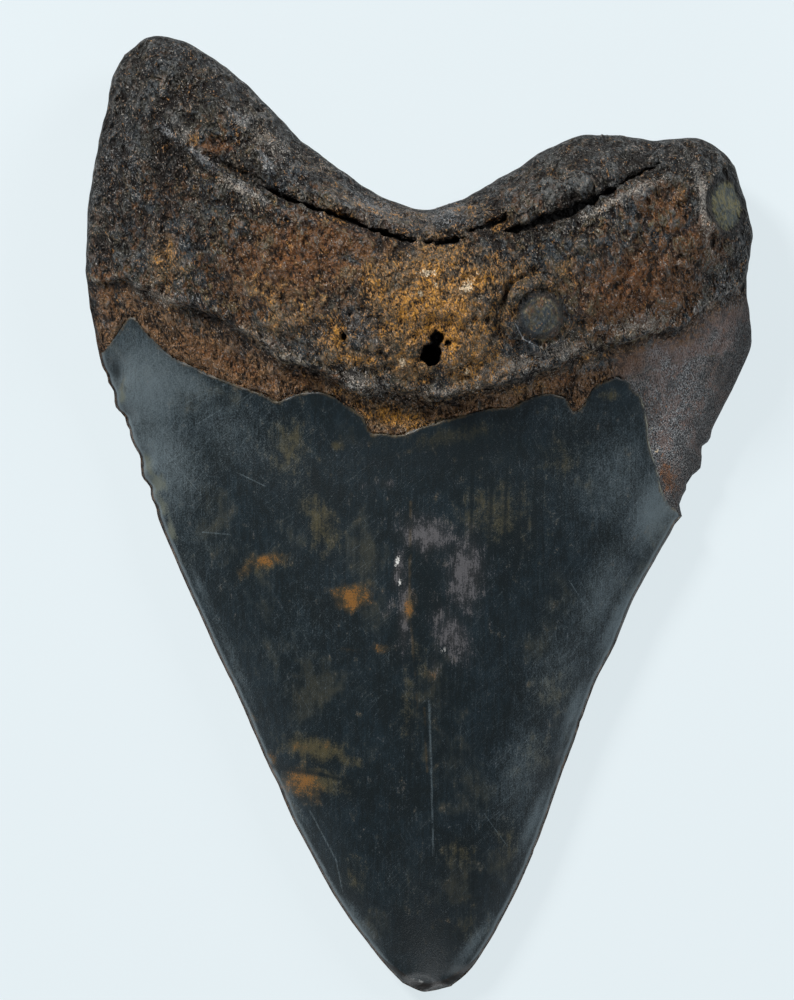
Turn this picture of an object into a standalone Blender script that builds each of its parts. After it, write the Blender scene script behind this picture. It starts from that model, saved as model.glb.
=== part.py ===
"""Fossil tooth of a giant shark, one solid piece, modelled at real size in its own frame.

The tooth lies on its flat outer (lip side) face with the domed inner (tongue side) face up.
Origin: middle of the footprint, on the surface it lies on. +X right, +Y from tip to root, +Z up.
Two sheets share one outline: the front sheet is domed and carries the root, its ledge, the
groove and the scars; the back sheet is nearly flat. They are welded round the rim.
"""

import bmesh
import bpy
import numpy as np

MM = 0.001

# Driving dimensions, in millimetres.
TOOTH_THICKNESS = 27.0
ROOT_FALL_TO_SIDES = 10.5
ROOT_HALF_WIDTH = 47.0
CROWN_RISE = 12.4
CROWN_RISE_RUN = 30.0
CROWN_RISE_POWER = 0.9
CROWN_ROUNDNESS = 2.0
EDGE_SHOULDER = 0.9
RIM_AT_TIP = 2.6
RIM_AT_CROWN = 4.2
RIM_AT_ROOT = 8.5
CROWN_ROUNDING = 1.8
ROOT_ROUNDING = 9.5
NOTCH_ROUNDING_CUT = 0.35
NOTCH_REACH = 14.0
ENAMEL_THICKNESS = 0.6
BREAK_HALF_WIDTH = 0.3
BAND_RISE = 0.8
BAND_RISE_MORE_AT_SIDES = 1.4
LEDGE_STEP = 2.4
LEDGE_CUT_AT_SIDES = 0.55
LEDGE_CUT_START = 0.5
SWELL_RUN = 5.5
GROOVE_DEPTH = 1.5
GROOVE_WIDTH = 0.9
TIP_LIFT = 1.3
TIP_LIFT_START = -38.0
TIP_LIFT_RUN = 30.0
LOBE_HOLLOW = 1.6
LOBE_HOLLOW_REACH = 13.0
BACK_HALF_WIDTH = 40.0
BACK_ROUNDING_SHARE = 0.9
BACK_ROUNDING_MOST = 16.0
BACK_ROUNDING_AT_ROOT = 7.0
PORE_RADIUS = 1.45
PORE_DEPTH = 7.0
PORE_TAPER = (0.6, 1.4)
PORE_SIDES = 18
PORE_PLACE = (1.5, 22.6, 25.5)

# How the root falls to its top rim: the share lost there, where the fall starts, and its power.
TOP_FALL = 0.17
TOP_FALL_START = 0.4
TOP_FALL_POWER = 1.8

# Where the crown's stations meet the sides of the tooth, as heights up the Y axis.
TIP_Y = -68.1
ENAMEL_END_Y = 22.6
LEDGE_END_Y = 32.4
ROOT_BLEND = (8.0, 36.0)
RIM_RISE = (TIP_Y, 5.0)
BACK_WIDENS = (TIP_Y - 8.0, 20.0)
NOTCH_FADE = (34.0, 42.0)
HOLLOW_FADE = (16.0, 40.0)
NOTCH_X = 1.5

# Outline, read from the tip up each side, and over the root from lobe to lobe.
TIP_EDGE = [(-2.4, -66.9), (0.2, -68.1), (2.2, -67.95), (4.5, -67.4)]
LEFT_SIDE = [
    (-2.4, -66.9), (-5.5, -63.6), (-11.2, -56.0), (-15.2, -49.0), (-19.2, -41.2), (-22.6, -33.5),
    (-26.0, -25.6), (-29.1, -19.2), (-32.1, -12.5), (-34.9, -6.2), (-37.2, -0.7), (-39.2, 5.0),
    (-41.0, 10.5), (-43.6, 16.0), (-45.2, 21.0), (-46.3, 27.0), (-47.1, 32.5), (-47.3, 38.0),
    (-46.9, 44.0), (-45.9, 51.0), (-44.6, 57.0), (-43.7, 62.0), (-41.9, 65.4),
]
RIGHT_SIDE = [
    (4.5, -67.4), (6.7, -65.6), (8.7, -63.0), (11.0, -59.2), (14.7, -51.9), (17.5, -45.0),
    (19.8, -38.4), (22.0, -32.5), (25.1, -23.8), (27.8, -18.6), (30.5, -12.0), (33.8, -6.0),
    (36.9, -0.3), (38.4, 4.5), (40.4, 8.4), (41.8, 12.5), (44.5, 17.9), (46.9, 23.4),
    (47.1, 26.0), (46.6, 30.4), (46.4, 33.9), (47.0, 37.1), (47.2, 39.8), (46.7, 42.5),
    (45.5, 46.9), (44.6, 49.6),
]
ROOT_TOP = [
    (-41.9, 65.4), (-39.3, 67.5), (-37.1, 68.1), (-34.6, 67.6), (-31.7, 66.4), (-26.6, 62.9),
    (-21.2, 57.8), (-16.3, 52.9), (-10.5, 48.5), (-5.1, 45.0), (-0.8, 43.6), (1.5, 43.4),
    (3.9, 44.1), (8.5, 46.1), (13.9, 49.3), (18.6, 52.2), (22.6, 53.8), (28.2, 53.9),
    (32.9, 53.2), (38.0, 53.6), (40.7, 53.0), (42.9, 51.7), (44.6, 49.6),
]

# Lines that cross the front: the ragged upper edge of the enamel, and the ledge of the root.
ENAMEL_EDGE = [
    (-43.2, 25.2), (-40.8, 28.1), (-38.7, 25.9), (-35.5, 22.8), (-32.1, 21.0), (-29.0, 19.6),
    (-25.8, 18.4), (-23.3, 17.5), (-20.0, 16.0), (-18.2, 16.7), (-14.4, 17.3), (-12.3, 16.8),
    (-8.8, 14.6), (-7.0, 11.7), (-3.0, 11.3), (-0.7, 12.1), (4.0, 13.6), (7.2, 14.4),
    (12.5, 15.2), (17.0, 17.0), (19.0, 17.0), (20.7, 16.2), (21.4, 14.6), (23.0, 15.6),
    (24.1, 17.7), (27.5, 19.4), (29.1, 19.1), (32.0, 20.3), (36.0, 21.6), (41.0, 22.4),
]
LEDGE = [
    (-41.3, 32.8), (-36.6, 30.4), (-30.1, 28.4), (-25.7, 26.1), (-22.4, 23.8), (-19.4, 21.6),
    (-13.2, 19.5), (-10.0, 17.6), (-7.3, 16.4), (-5.6, 17.1), (-1.3, 16.9), (1.9, 15.8),
    (4.0, 16.4), (6.1, 17.4), (12.4, 18.6), (15.7, 20.3), (21.7, 22.2), (29.7, 24.5),
    (36.5, 26.2), (38.9, 28.4), (42.5, 30.6),
]

# Line along which the enamel has broken away from the right shoulder of the crown.
BREAK_LINE = [
    (37.0, 0.4), (35.4, 1.8), (34.4, 3.4), (33.8, 6.1), (33.0, 8.5), (32.4, 10.6),
    (32.2, 12.8), (31.7, 15.1), (31.1, 16.8), (29.8, 17.9), (28.8, 19.6),
]
BEYOND_THE_TOOTH = 60.0

# Groove under the lip of the root, in two runs that meet near its deepest hole.
LEFT_GROOVE = [
    (-27.0, 48.8), (-22.3, 47.7), (-17.4, 43.2), (-11.5, 41.2), (-6.0, 39.4), (-0.8, 37.8),
    (5.0, 38.0), (9.6, 40.3), (11.8, 41.1),
]
RIGHT_GROOVE = [(13.1, 39.7), (18.0, 41.4), (23.3, 44.1), (29.9, 47.6), (32.2, 48.8)]
GROOVE_RUNS = [(LEFT_GROOVE, (-27.0, -23.0), (8.8, 12.3)), (RIGHT_GROOVE, (12.6, 16.6), (29.2, 32.7))]

# Pits and lumps of the front: centre, radii across and along, and height (a pit's is negative).
PITS_AND_LUMPS = [
    ((16.6, 27.8), (3.4, 3.4), 0.5),
    ((42.6, 42.9), (2.0, 3.2), -0.6),
    ((40.2, 42.2), (0.9, 3.4), 0.6),
    ((-28.3, 51.3), (0.9, 0.8), -0.4),
    ((2.3, 24.7), (0.9, 1.1), -1.0),
    ((5.0, 38.1), (0.9, 0.8), -1.5),
    ((13.1, 39.6), (0.9, 0.7), -1.2),
    ((-10.6, 25.0), (0.7, 0.7), -0.6),
]
SCAR_RING = ((16.6, 27.8), 4.1, 0.8, -0.55)

# Chips in the cutting edges: side, height up the Y axis, half length, and depth into the tooth.
EDGE_CHIPS = [
    ("left", 18.5, 1.6, 0.7), ("left", 13.2, 1.3, 0.9), ("left", 7.6, 1.2, 0.6),
    ("left", 3.2, 1.0, 0.6), ("left", -39.0, 2.5, 0.4), ("right", 9.8, 1.0, 0.7),
    ("right", 6.4, 0.9, -0.5), ("right", 2.2, 1.4, 0.6), ("right", -29.6, 0.6, 0.5),
    ("right", -34.2, 0.6, 0.5),
]
CHIP_REACH = 2.2

# Random relief of the root: size of its lumps, their height, and a seed for each size.
ROOT_RELIEF = [(6.5, 0.45, 3), (3.2, 0.35, 5), (1.7, 0.22, 7)]
CROWN_RELIEF = [(17.0, 0.14, 11)]
BAND_RELIEF_SHARE = 0.5
NOISE_CELLS = 128

# Resolution of the sheets before they are thinned to the solid's own number of faces.
COLUMNS = 140
CROWN_ROWS = 92
BAND_ROWS = 14
ROOT_ROWS = 72
KEPT_SHARE = 0.082
CURVE_STEPS = 12
OUTLINE_STEPS = 420
GATHER_DEPTH = 0.9
GATHER_REACH = 4.0
WELD_DISTANCE = 1e-7

SHARP_ANGLE = 0.9
STONE_COLOUR = (0.045, 0.042, 0.038, 1.0)
STONE_ROUGHNESS = 0.45


def clear_scene():
    for old in list(bpy.data.objects):
        bpy.data.objects.remove(old, do_unlink=True)


def smooth_step(low, high, value):
    """0 below low, 1 above high, and an S curve between them."""
    share = np.clip((value - low) / (high - low), 0.0, 1.0)
    return share * share * (3.0 - 2.0 * share)


def quarter_round(distance, radius):
    """A quarter circle that climbs from 0 at the rim to 1 at the given radius."""
    share = np.clip(distance / radius, 0.0, 1.0)
    return np.sqrt(1.0 - (1.0 - share) ** 2)


def spaced_along(path, shares):
    """The points that lie at these shares of a path's length."""
    path = np.asarray(path, float)
    lengths = np.concatenate([[0.0], np.cumsum(np.linalg.norm(np.diff(path, axis=0), axis=1))])
    wanted = np.asarray(shares) * lengths[-1]
    return np.stack([np.interp(wanted, lengths, path[:, axis]) for axis in (0, 1)], axis=1)


def smooth_path(points):
    """A Catmull-Rom curve through the points, as a fine run of short straight steps."""
    inner = np.asarray(points, float)
    ends = 2.0 * inner[[0, -1]] - inner[[1, -2]]
    knots = np.vstack([ends[:1], inner, ends[1:]])
    place = np.linspace(0.0, len(inner) - 1, CURVE_STEPS * (len(inner) - 1) + 1)
    first = np.minimum(place.astype(int), len(inner) - 2)
    t = (place - first)[:, None]
    before, start, end, after = (knots[first + step] for step in range(4))
    bend = (2.0 * before - 5.0 * start + 4.0 * end - after) * t**2
    twist = (3.0 * start - before - 3.0 * end + after) * t**3
    return 0.5 * (2.0 * start + (end - before) * t + bend + twist)


def split_at(path, heights):
    """A side of the tooth cut into stretches where it passes these heights up the Y axis."""
    cuts = [0] + [int(np.argmax(path[:, 1] >= height)) for height in heights] + [len(path) - 1]
    return [path[start : end + 1] for start, end in zip(cuts, cuts[1:])]


def crossing_line(points, left, right, shares):
    """A line across the tooth, even in X, from its left side to its right side."""
    line = smooth_path([left] + points + [right])
    x = left[0] + (right[0] - left[0]) * shares
    return np.stack([x, np.interp(x, np.maximum.accumulate(line[:, 0]), line[:, 1])], axis=1)


def filled_patch(low, high, left, right, up, across):
    """A Coons patch: the surface that blends four border curves into each other."""
    w, c = up[:, None, None], across[None, :, None]
    corners = (1 - c) * ((1 - w) * low[0] + w * high[0]) + c * ((1 - w) * low[-1] + w * high[-1])
    return (1 - w) * low + w * high + (1 - c) * left[:, None] + c * right[:, None] - corners


def gathered(count, at_start, at_end):
    """Shares from 0 to 1 whose steps shrink to a tenth at the ends that ask for it."""
    middle = (np.arange(count) + 0.5) / count
    width = GATHER_REACH / count
    step = np.ones(count)
    step -= GATHER_DEPTH * at_start * np.exp(-((middle / width) ** 2))
    step -= GATHER_DEPTH * at_end * np.exp(-(((1.0 - middle) / width) ** 2))
    return np.concatenate([[0.0], np.cumsum(step) / step.sum()])


def tooth_plan():
    """Plan positions of the grid, with each point's row section, share up it and share across."""
    across = gathered(COLUMNS, 1, 1)
    left = split_at(smooth_path(LEFT_SIDE), [ENAMEL_END_Y, LEDGE_END_Y])
    right = split_at(smooth_path(RIGHT_SIDE), [ENAMEL_END_Y, LEDGE_END_Y])
    lines = [
        spaced_along(smooth_path(TIP_EDGE), across),
        crossing_line(ENAMEL_EDGE, tuple(left[0][-1]), tuple(right[0][-1]), across),
        crossing_line(LEDGE, tuple(left[1][-1]), tuple(right[1][-1]), across),
        spaced_along(smooth_path(ROOT_TOP), across),
    ]
    rows = [gathered(CROWN_ROWS, 1, 1), gathered(BAND_ROWS, 1, 1), gathered(ROOT_ROWS, 1, 1)]
    plans, ups, sections = [], [], []
    for section, up in enumerate(rows):
        sides = [spaced_along(side[section], up) for side in (left, right)]
        plan = filled_patch(lines[section], lines[section + 1], *sides, up, across)
        first = 0 if section == 0 else 1
        plans.append(plan[first:])
        ups.append(up[first:])
        sections.append(np.full(len(up) - first, section))
    column_length = np.linalg.norm(lines[3] - lines[2], axis=1)
    return np.vstack(plans), np.concatenate(ups), np.concatenate(sections), across, column_length


def distance_to(path, x, y):
    """Distance from each point to the nearest stretch of a path."""
    nearest = np.full(x.shape, np.inf)
    for (ax, ay), (bx, by) in zip(path[:-1], path[1:]):
        run_x, run_y = bx - ax, by - ay
        share = ((x - ax) * run_x + (y - ay) * run_y) / (run_x**2 + run_y**2)
        share = np.clip(share, 0.0, 1.0)
        gap = np.hypot(x - ax - share * run_x, y - ay - share * run_y)
        nearest = np.minimum(nearest, gap)
    return nearest


def outline_path():
    """The closed outline, as even short steps."""
    sides = [smooth_path(points) for points in (LEFT_SIDE, ROOT_TOP, RIGHT_SIDE, TIP_EDGE)]
    whole = np.vstack([sides[0], sides[1][1:], sides[2][::-1][1:], sides[3][::-1][1:]])
    return spaced_along(whole, np.linspace(0.0, 1.0, OUTLINE_STEPS))


def random_relief(x, y, layers):
    """Sum of layers of smooth random lumps: a lattice of random heights joined by S curves."""
    total = np.zeros(x.shape)
    for cell, height, seed in layers:
        lattice = np.random.default_rng(seed).uniform(-1.0, 1.0, (NOISE_CELLS, NOISE_CELLS))
        column, row = x / cell + NOISE_CELLS / 2, y / cell + NOISE_CELLS / 2
        i, j = np.floor(column).astype(int), np.floor(row).astype(int)
        s, t = smooth_step(0.0, 1.0, column - i), smooth_step(0.0, 1.0, row - j)
        near = lattice[i, j] * (1 - s) + lattice[i + 1, j] * s
        far = lattice[i, j + 1] * (1 - s) + lattice[i + 1, j + 1] * s
        total += height * (near * (1 - t) + far * t)
    return total


def rim_height(y):
    """Height of the rim above the surface that the tooth lies on."""
    crown = RIM_AT_TIP + (RIM_AT_CROWN - RIM_AT_TIP) * smooth_step(*RIM_RISE, y)
    return crown + (RIM_AT_ROOT - crown) * smooth_step(*ROOT_BLEND, y)


def near_notch(x, y):
    """1 at the notch between the root's lobes, falling to 0 away from it."""
    return np.exp(-(((x - NOTCH_X) / NOTCH_REACH) ** 2)) * smooth_step(*NOTCH_FADE, y)


def crown_height(share_across, y):
    """The domed face of the crown: it rises fast from the tip, and bows from edge to edge."""
    edge = rim_height(y) + EDGE_SHOULDER
    along = np.clip(1.0 - np.exp(-(y - TIP_Y) / CROWN_RISE_RUN), 0.0, 1.0) ** CROWN_RISE_POWER
    bow = 1.0 - np.abs(2.0 * share_across - 1.0) ** CROWN_ROUNDNESS
    return edge + CROWN_RISE * along * bow


def band_rise(share_across):
    """How much the band under the ledge stands up: more towards the sides."""
    return BAND_RISE + BAND_RISE_MORE_AT_SIDES * np.abs(2.0 * share_across - 1.0)


def root_height(share_up, share_across, x, y, column_length):
    """The root: a step up at the ledge, a swell above it, and a slow fall to its top rim."""
    side = np.abs(2.0 * share_across - 1.0)
    foot = crown_height(share_across, y) - ENAMEL_THICKNESS + band_rise(share_across)
    step = LEDGE_STEP * (1.0 - LEDGE_CUT_AT_SIDES * smooth_step(LEDGE_CUT_START, 1.0, side))
    crest = TOOTH_THICKNESS - ROOT_FALL_TO_SIDES * ((x - NOTCH_X) / ROOT_HALF_WIDTH) ** 2
    towards_top = np.clip((share_up - TOP_FALL_START) / (1.0 - TOP_FALL_START), 0.0, 1.0)
    body = crest * (1.0 - TOP_FALL * towards_top**TOP_FALL_POWER)
    climb = 1.0 - np.exp(-share_up * column_length / SWELL_RUN)
    return foot + step + (body - foot - step) * climb


def groove(x, y):
    """Depth of the groove under the root's lip, fading where its two runs end."""
    depth = np.zeros(x.shape)
    for points, start, end in GROOVE_RUNS:
        gap = distance_to(smooth_path(points), x, y)
        fade = smooth_step(*start, x) * (1.0 - smooth_step(*end, x))
        depth = np.maximum(depth, GROOVE_DEPTH * fade * np.exp(-((gap / GROOVE_WIDTH) ** 2)))
    return depth


def pits_and_lumps(x, y):
    """The scars, pores and their ridges, each a soft round bump or pit."""
    total = np.zeros(x.shape)
    for (cx, cy), (rx, ry), height in PITS_AND_LUMPS:
        total += height * np.exp(-((((x - cx) / rx) ** 2 + ((y - cy) / ry) ** 2) ** 2))
    (cx, cy), radius, width, height = SCAR_RING
    ring = np.hypot(x - cx, y - cy) - radius
    return total + height * np.exp(-((ring / width) ** 2))


def enamel_left(x, y):
    """1 where the enamel is still on the crown, 0 right of the line where it broke away."""
    path = np.asarray(BREAK_LINE)
    line = np.interp(y, path[:, 1], path[:, 0], left=BEYOND_THE_TOOTH)
    return 1.0 - smooth_step(-BREAK_HALF_WIDTH, BREAK_HALF_WIDTH, x - line)


def front_height(plan, up, section, across, column_length, rim_gap):
    """Height of every point of the front sheet."""
    x, y = plan[..., 0], plan[..., 1]
    up, section, across = np.broadcast_arrays(up[:, None], section[:, None], across[None, :])
    crown = crown_height(across, y) + random_relief(x, y, CROWN_RELIEF)
    crown -= ENAMEL_THICKNESS * (1.0 - enamel_left(x, y))
    band = crown_height(across, y) - ENAMEL_THICKNESS + up * band_rise(across)
    root = root_height(up, across, x, y, column_length)
    relief = random_relief(x, y, ROOT_RELIEF)
    band += BAND_RELIEF_SHARE * relief
    inside = np.select([section == 0, section == 1], [crown, band], root + relief)
    inside = inside + np.where(section == 2, pits_and_lumps(x, y) - groove(x, y), 0.0)
    blend = smooth_step(*ROOT_BLEND, y)
    rounding = CROWN_ROUNDING + (ROOT_ROUNDING - CROWN_ROUNDING) * blend
    rounding *= 1.0 - NOTCH_ROUNDING_CUT * near_notch(x, y)
    rim = rim_height(y)
    return rim + (inside - rim) * quarter_round(rim_gap, rounding)


def back_height(plan, rim_gap):
    """Height of every point of the back sheet, which is flat where the tooth rests on it."""
    x, y = plan[..., 0], plan[..., 1]
    blend = smooth_step(*ROOT_BLEND, y)
    half_width = BACK_HALF_WIDTH * smooth_step(*BACK_WIDENS, y)
    at_crown = np.minimum(BACK_ROUNDING_MOST, BACK_ROUNDING_SHARE * half_width)
    rounding = at_crown * (1.0 - blend) + BACK_ROUNDING_AT_ROOT * blend
    lift = TIP_LIFT * np.clip((TIP_LIFT_START - y) / TIP_LIFT_RUN, 0.0, 1.0) ** 2
    hollow = np.exp(-(((x - NOTCH_X) / LOBE_HOLLOW_REACH) ** 2)) * smooth_step(*HOLLOW_FADE, y)
    share = np.clip(rim_gap / rounding, 0.0, 1.0)
    bow = (1.0 - share) ** 2
    round_rim = 1.0 - quarter_round(rim_gap, rounding)
    fall = bow + (round_rim - bow) * blend
    return lift + (rim_height(y) - lift) * fall + LOBE_HOLLOW * hollow * (1.0 - fall)


def chipped(plan, rim_gap):
    """The plan with its points near the rim pushed in where the cutting edges are chipped."""
    x, y = plan[..., 0], plan[..., 1]
    push = np.zeros(x.shape)
    for side, height, half_length, depth in EDGE_CHIPS:
        inward = 1.0 if side == "left" else -1.0
        here = np.exp(-(((y - height) / half_length) ** 2)) * (x * inward < 0.0)
        push += inward * depth * here
    moved = plan.copy()
    moved[..., 0] += push * np.exp(-((rim_gap / CHIP_REACH) ** 2))
    return moved


def add_sheet(mesh, plan, height, facing_up):
    """Adds one sheet: a flat grid whose points are moved to their places."""
    rows, columns = height.shape
    grid = bmesh.ops.create_grid(mesh, x_segments=columns - 1, y_segments=rows - 1, size=1.0)
    places = np.concatenate([plan, height[..., None]], axis=2).reshape(-1, 3) * MM
    for vertex, place in zip(grid["verts"], places):
        vertex.co = place
    if not facing_up:
        faces = {face for vertex in grid["verts"] for face in vertex.link_faces}
        bmesh.ops.reverse_faces(mesh, faces=list(faces))


def stone_material():
    material = bpy.data.materials.new("fossil_stone")
    material.use_nodes = True
    shader = material.node_tree.nodes["Principled BSDF"]
    shader.inputs["Base Color"].default_value = STONE_COLOUR
    shader.inputs["Roughness"].default_value = STONE_ROUGHNESS
    shader.inputs["Metallic"].default_value = 0.0
    material.diffuse_color = STONE_COLOUR
    return material


def pore_cutter():
    """A tapered round cutter for the nutrient pore in the middle of the root."""
    mesh = bmesh.new()
    bmesh.ops.create_cone(
        mesh, cap_ends=True, segments=PORE_SIDES, depth=2.0 * PORE_DEPTH * MM,
        radius1=PORE_TAPER[0] * PORE_RADIUS * MM, radius2=PORE_TAPER[1] * PORE_RADIUS * MM,
    )
    data = bpy.data.meshes.new("pore_cutter")
    mesh.to_mesh(data)
    mesh.free()
    cutter = bpy.data.objects.new("pore_cutter", data)
    cutter.location = [side * MM for side in PORE_PLACE]
    cutter.hide_render = True
    cutter.display_type = "WIRE"
    bpy.context.scene.collection.objects.link(cutter)
    return cutter


def tooth():
    """The whole tooth, thinned to the faces that its shape needs, with its pore cut."""
    plan, up, section, across, column_length = tooth_plan()
    rim_gap = distance_to(outline_path(), plan[..., 0], plan[..., 1])
    rim_gap[[0, -1], :] = 0.0
    rim_gap[:, [0, -1]] = 0.0
    front = front_height(plan, up, section, across, column_length, rim_gap)
    back = back_height(plan, rim_gap)
    plan = chipped(plan, rim_gap)
    mesh = bmesh.new()
    add_sheet(mesh, plan, front, facing_up=True)
    add_sheet(mesh, plan, back, facing_up=False)
    bmesh.ops.remove_doubles(mesh, verts=mesh.verts, dist=WELD_DISTANCE)
    data = bpy.data.meshes.new("tooth")
    mesh.to_mesh(data)
    mesh.free()
    data.shade_smooth()
    data.set_sharp_from_angle(angle=SHARP_ANGLE)
    data.materials.append(stone_material())
    piece = bpy.data.objects.new("tooth", data)
    bpy.context.scene.collection.objects.link(piece)
    thinning = piece.modifiers.new("thinning", "DECIMATE")
    thinning.ratio = KEPT_SHARE
    pore = piece.modifiers.new("pore", "BOOLEAN")
    pore.operation = "DIFFERENCE"
    pore.solver = "EXACT"
    pore.object = pore_cutter()
    return piece


clear_scene()
tooth()
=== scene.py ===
# %% [markdown]
# A fossil tooth of a giant shark, lying on its flat face with its domed face up.
# This script is a lesson in cells: first the frame and the camera, then the shape of the tooth
# as one closed surface worked out with numpy, then its finishes as shader expressions.
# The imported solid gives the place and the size. Everything is computed in millimetres and
# turned into metres when the mesh is made.

# %% Load the frame
import math

import bpy
import numpy as np
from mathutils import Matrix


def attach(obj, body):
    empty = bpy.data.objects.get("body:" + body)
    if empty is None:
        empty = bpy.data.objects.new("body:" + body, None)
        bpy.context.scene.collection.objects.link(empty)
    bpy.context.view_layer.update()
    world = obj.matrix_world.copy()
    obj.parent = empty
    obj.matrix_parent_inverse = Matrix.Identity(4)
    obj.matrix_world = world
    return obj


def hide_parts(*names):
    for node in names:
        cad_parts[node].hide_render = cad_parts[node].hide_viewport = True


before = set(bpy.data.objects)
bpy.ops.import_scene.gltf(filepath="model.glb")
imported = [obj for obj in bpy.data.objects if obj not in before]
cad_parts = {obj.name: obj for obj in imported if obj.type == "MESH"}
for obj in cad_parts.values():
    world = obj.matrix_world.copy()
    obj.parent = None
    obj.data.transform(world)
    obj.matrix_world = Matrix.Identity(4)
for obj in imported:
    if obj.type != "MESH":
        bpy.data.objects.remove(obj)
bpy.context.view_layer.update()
MM = 0.001
NODE = "tooth"

# %% [markdown]
# The camera looks straight down. A long lens keeps the view almost parallel, so the thick root
# is drawn hardly larger than the thin crown. Its height follows from the scale wanted at the
# level of the tooth's rim: 0.1424 mm for each of the 1000 pixels along the picture's long side.

# %% Camera
PICTURE_LONG_SIDE = 1000
MM_PER_PIXEL = 0.1424
LENS_MM, FILM_MM = 150.0, 36.0
RIM_LEVEL_MM = 6.0
CAMERA_X_MM, CAMERA_Y_MM = -3.23, 2.26

camera_data = bpy.data.cameras.new("camera")
camera_data.lens = LENS_MM
camera_data.sensor_width = FILM_MM
camera_data.clip_start = 0.01
camera = bpy.data.objects.new("camera", camera_data)
bpy.context.scene.collection.objects.link(camera)
camera_height = RIM_LEVEL_MM + MM_PER_PIXEL * PICTURE_LONG_SIDE * LENS_MM / FILM_MM
camera.location = (CAMERA_X_MM * MM, CAMERA_Y_MM * MM, camera_height * MM)
bpy.context.scene.camera = camera
print("camera height, mm:", round(camera_height, 1))

# %% [markdown]
# Shapes here are numpy arrays of points. Curve objects and modifiers could give the outline, but
# relief and stains ask for distances to the same lines, and arrays answer that for all points at
# once. Two small tools do most of the work: a smooth curve through a few chosen points
# (Catmull-Rom: each stretch is a cubic that leaves and arrives along the line between its
# neighbours), and picking points off a curve at given shares of its length.

# %% Curves
def smooth_step(low, high, value):
    """0 below low, 1 above high, and 3s^2 - 2s^3 between them."""
    share = np.clip((value - low) / (high - low), 0.0, 1.0)
    return share * share * (3.0 - 2.0 * share)


def quarter_round(distance, radius):
    """A quarter circle: sqrt(1 - (1 - s)^2), where s is the distance as a share of the radius."""
    share = np.clip(distance / radius, 0.0, 1.0)
    return np.sqrt(1.0 - (1.0 - share) ** 2)


def smooth_path(points, steps=14):
    """Catmull-Rom curve: half of (2b + (c-a)t + (2a-5b+4c-d)t^2 + (3b-a-3c+d)t^3)."""
    inner = np.asarray(points, float)
    ends = 2.0 * inner[[0, -1]] - inner[[1, -2]]
    knots = np.vstack([ends[:1], inner, ends[1:]])
    place = np.linspace(0.0, len(inner) - 1, steps * (len(inner) - 1) + 1)
    first = np.minimum(place.astype(int), len(inner) - 2)
    t = (place - first)[:, None]
    a, b, c, d = (knots[first + step] for step in range(4))
    square, cube = 2 * a - 5 * b + 4 * c - d, 3 * b - a - 3 * c + d
    return 0.5 * (2 * b + (c - a) * t + square * t**2 + cube * t**3)


def spaced_along(path, shares):
    """The points at these shares of a path's length, read off its running length."""
    steps = np.linalg.norm(np.diff(path, axis=0), axis=1)
    lengths = np.concatenate([[0.0], np.cumsum(steps)])
    wanted = np.asarray(shares) * lengths[-1]
    return np.stack([np.interp(wanted, lengths, path[:, axis]) for axis in (0, 1)], axis=1)


def gap_to_stretch(start, end, x, y):
    """Distance to one straight stretch, and how far along it the nearest place is, from 0 to 1."""
    run_x, run_y = end[0] - start[0], end[1] - start[1]
    along = ((x - start[0]) * run_x + (y - start[1]) * run_y) / (run_x**2 + run_y**2)
    along = np.clip(along, 0.0, 1.0)
    return np.hypot(x - start[0] - along * run_x, y - start[1] - along * run_y), along


def distance_to(path, x, y):
    """Distance from each point to the nearest stretch of a path, one stretch at a time."""
    nearest = np.full(np.shape(x), np.inf)
    for start, end in zip(path[:-1], path[1:]):
        nearest = np.minimum(nearest, gap_to_stretch(start, end, x, y)[0])
    return nearest


def bell(value, middle, width):
    """Bell curve: exp(-d^2), where d is the distance from its middle in widths."""
    return np.exp(-(((value - middle) / width) ** 2))


# %% [markdown]
# The outline is read from the worn tip up each side, and over the two lobes of the root. Inside
# it two more lines matter, because the surface changes there: the ragged upper edge of the
# enamel, and the ledge where the root stands up above the crown. Heights are up the Y axis. A
# real tooth's outline follows no formula, so its points are listed one by one, in millimetres.

# %% Outline and the lines that cross the tooth
TIP_Y = -68.1
ENAMEL_END_Y = 22.6
LEDGE_END_Y = 32.4
ROOT_BLEND = (8.0, 36.0)
NOTCH_X = 1.5
TIP_EDGE = [(-2.4, -66.9), (0.2, -68.1), (2.2, -67.95), (4.5, -67.4)]
LEFT_SIDE = [
    (-2.4, -66.9), (-5.5, -63.6), (-11.2, -56), (-15.2, -49), (-19.2, -41.2), (-22.6, -33.5), (-26, -25.6),
    (-29.1, -19.2), (-32.1, -12.5), (-34.9, -6.2), (-37.2, -0.7), (-39.2, 5), (-41, 10.5), (-43.6, 16),
    (-45.2, 21), (-46.3, 27), (-47.1, 32.5), (-47.3, 38), (-46.9, 44), (-45.9, 51), (-44.6, 57),
    (-43.7, 62), (-41.9, 65.4),
]
RIGHT_SIDE = [
    (4.5, -67.4), (6.7, -65.6), (8.7, -63), (11, -59.2), (14.7, -51.9), (17.5, -45), (19.8, -38.4),
    (22, -32.5), (25.1, -23.8), (27.8, -18.6), (30.5, -12), (33.8, -6), (36.9, -0.3), (38.4, 4.5),
    (40.4, 8.4), (41.8, 12.5), (44.5, 17.9), (46.9, 23.4), (47.1, 26), (46.6, 30.4), (46.4, 33.9),
    (47, 37.1), (47.2, 39.8), (46.7, 42.5), (45.5, 46.9), (44.6, 49.6),
]
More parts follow.
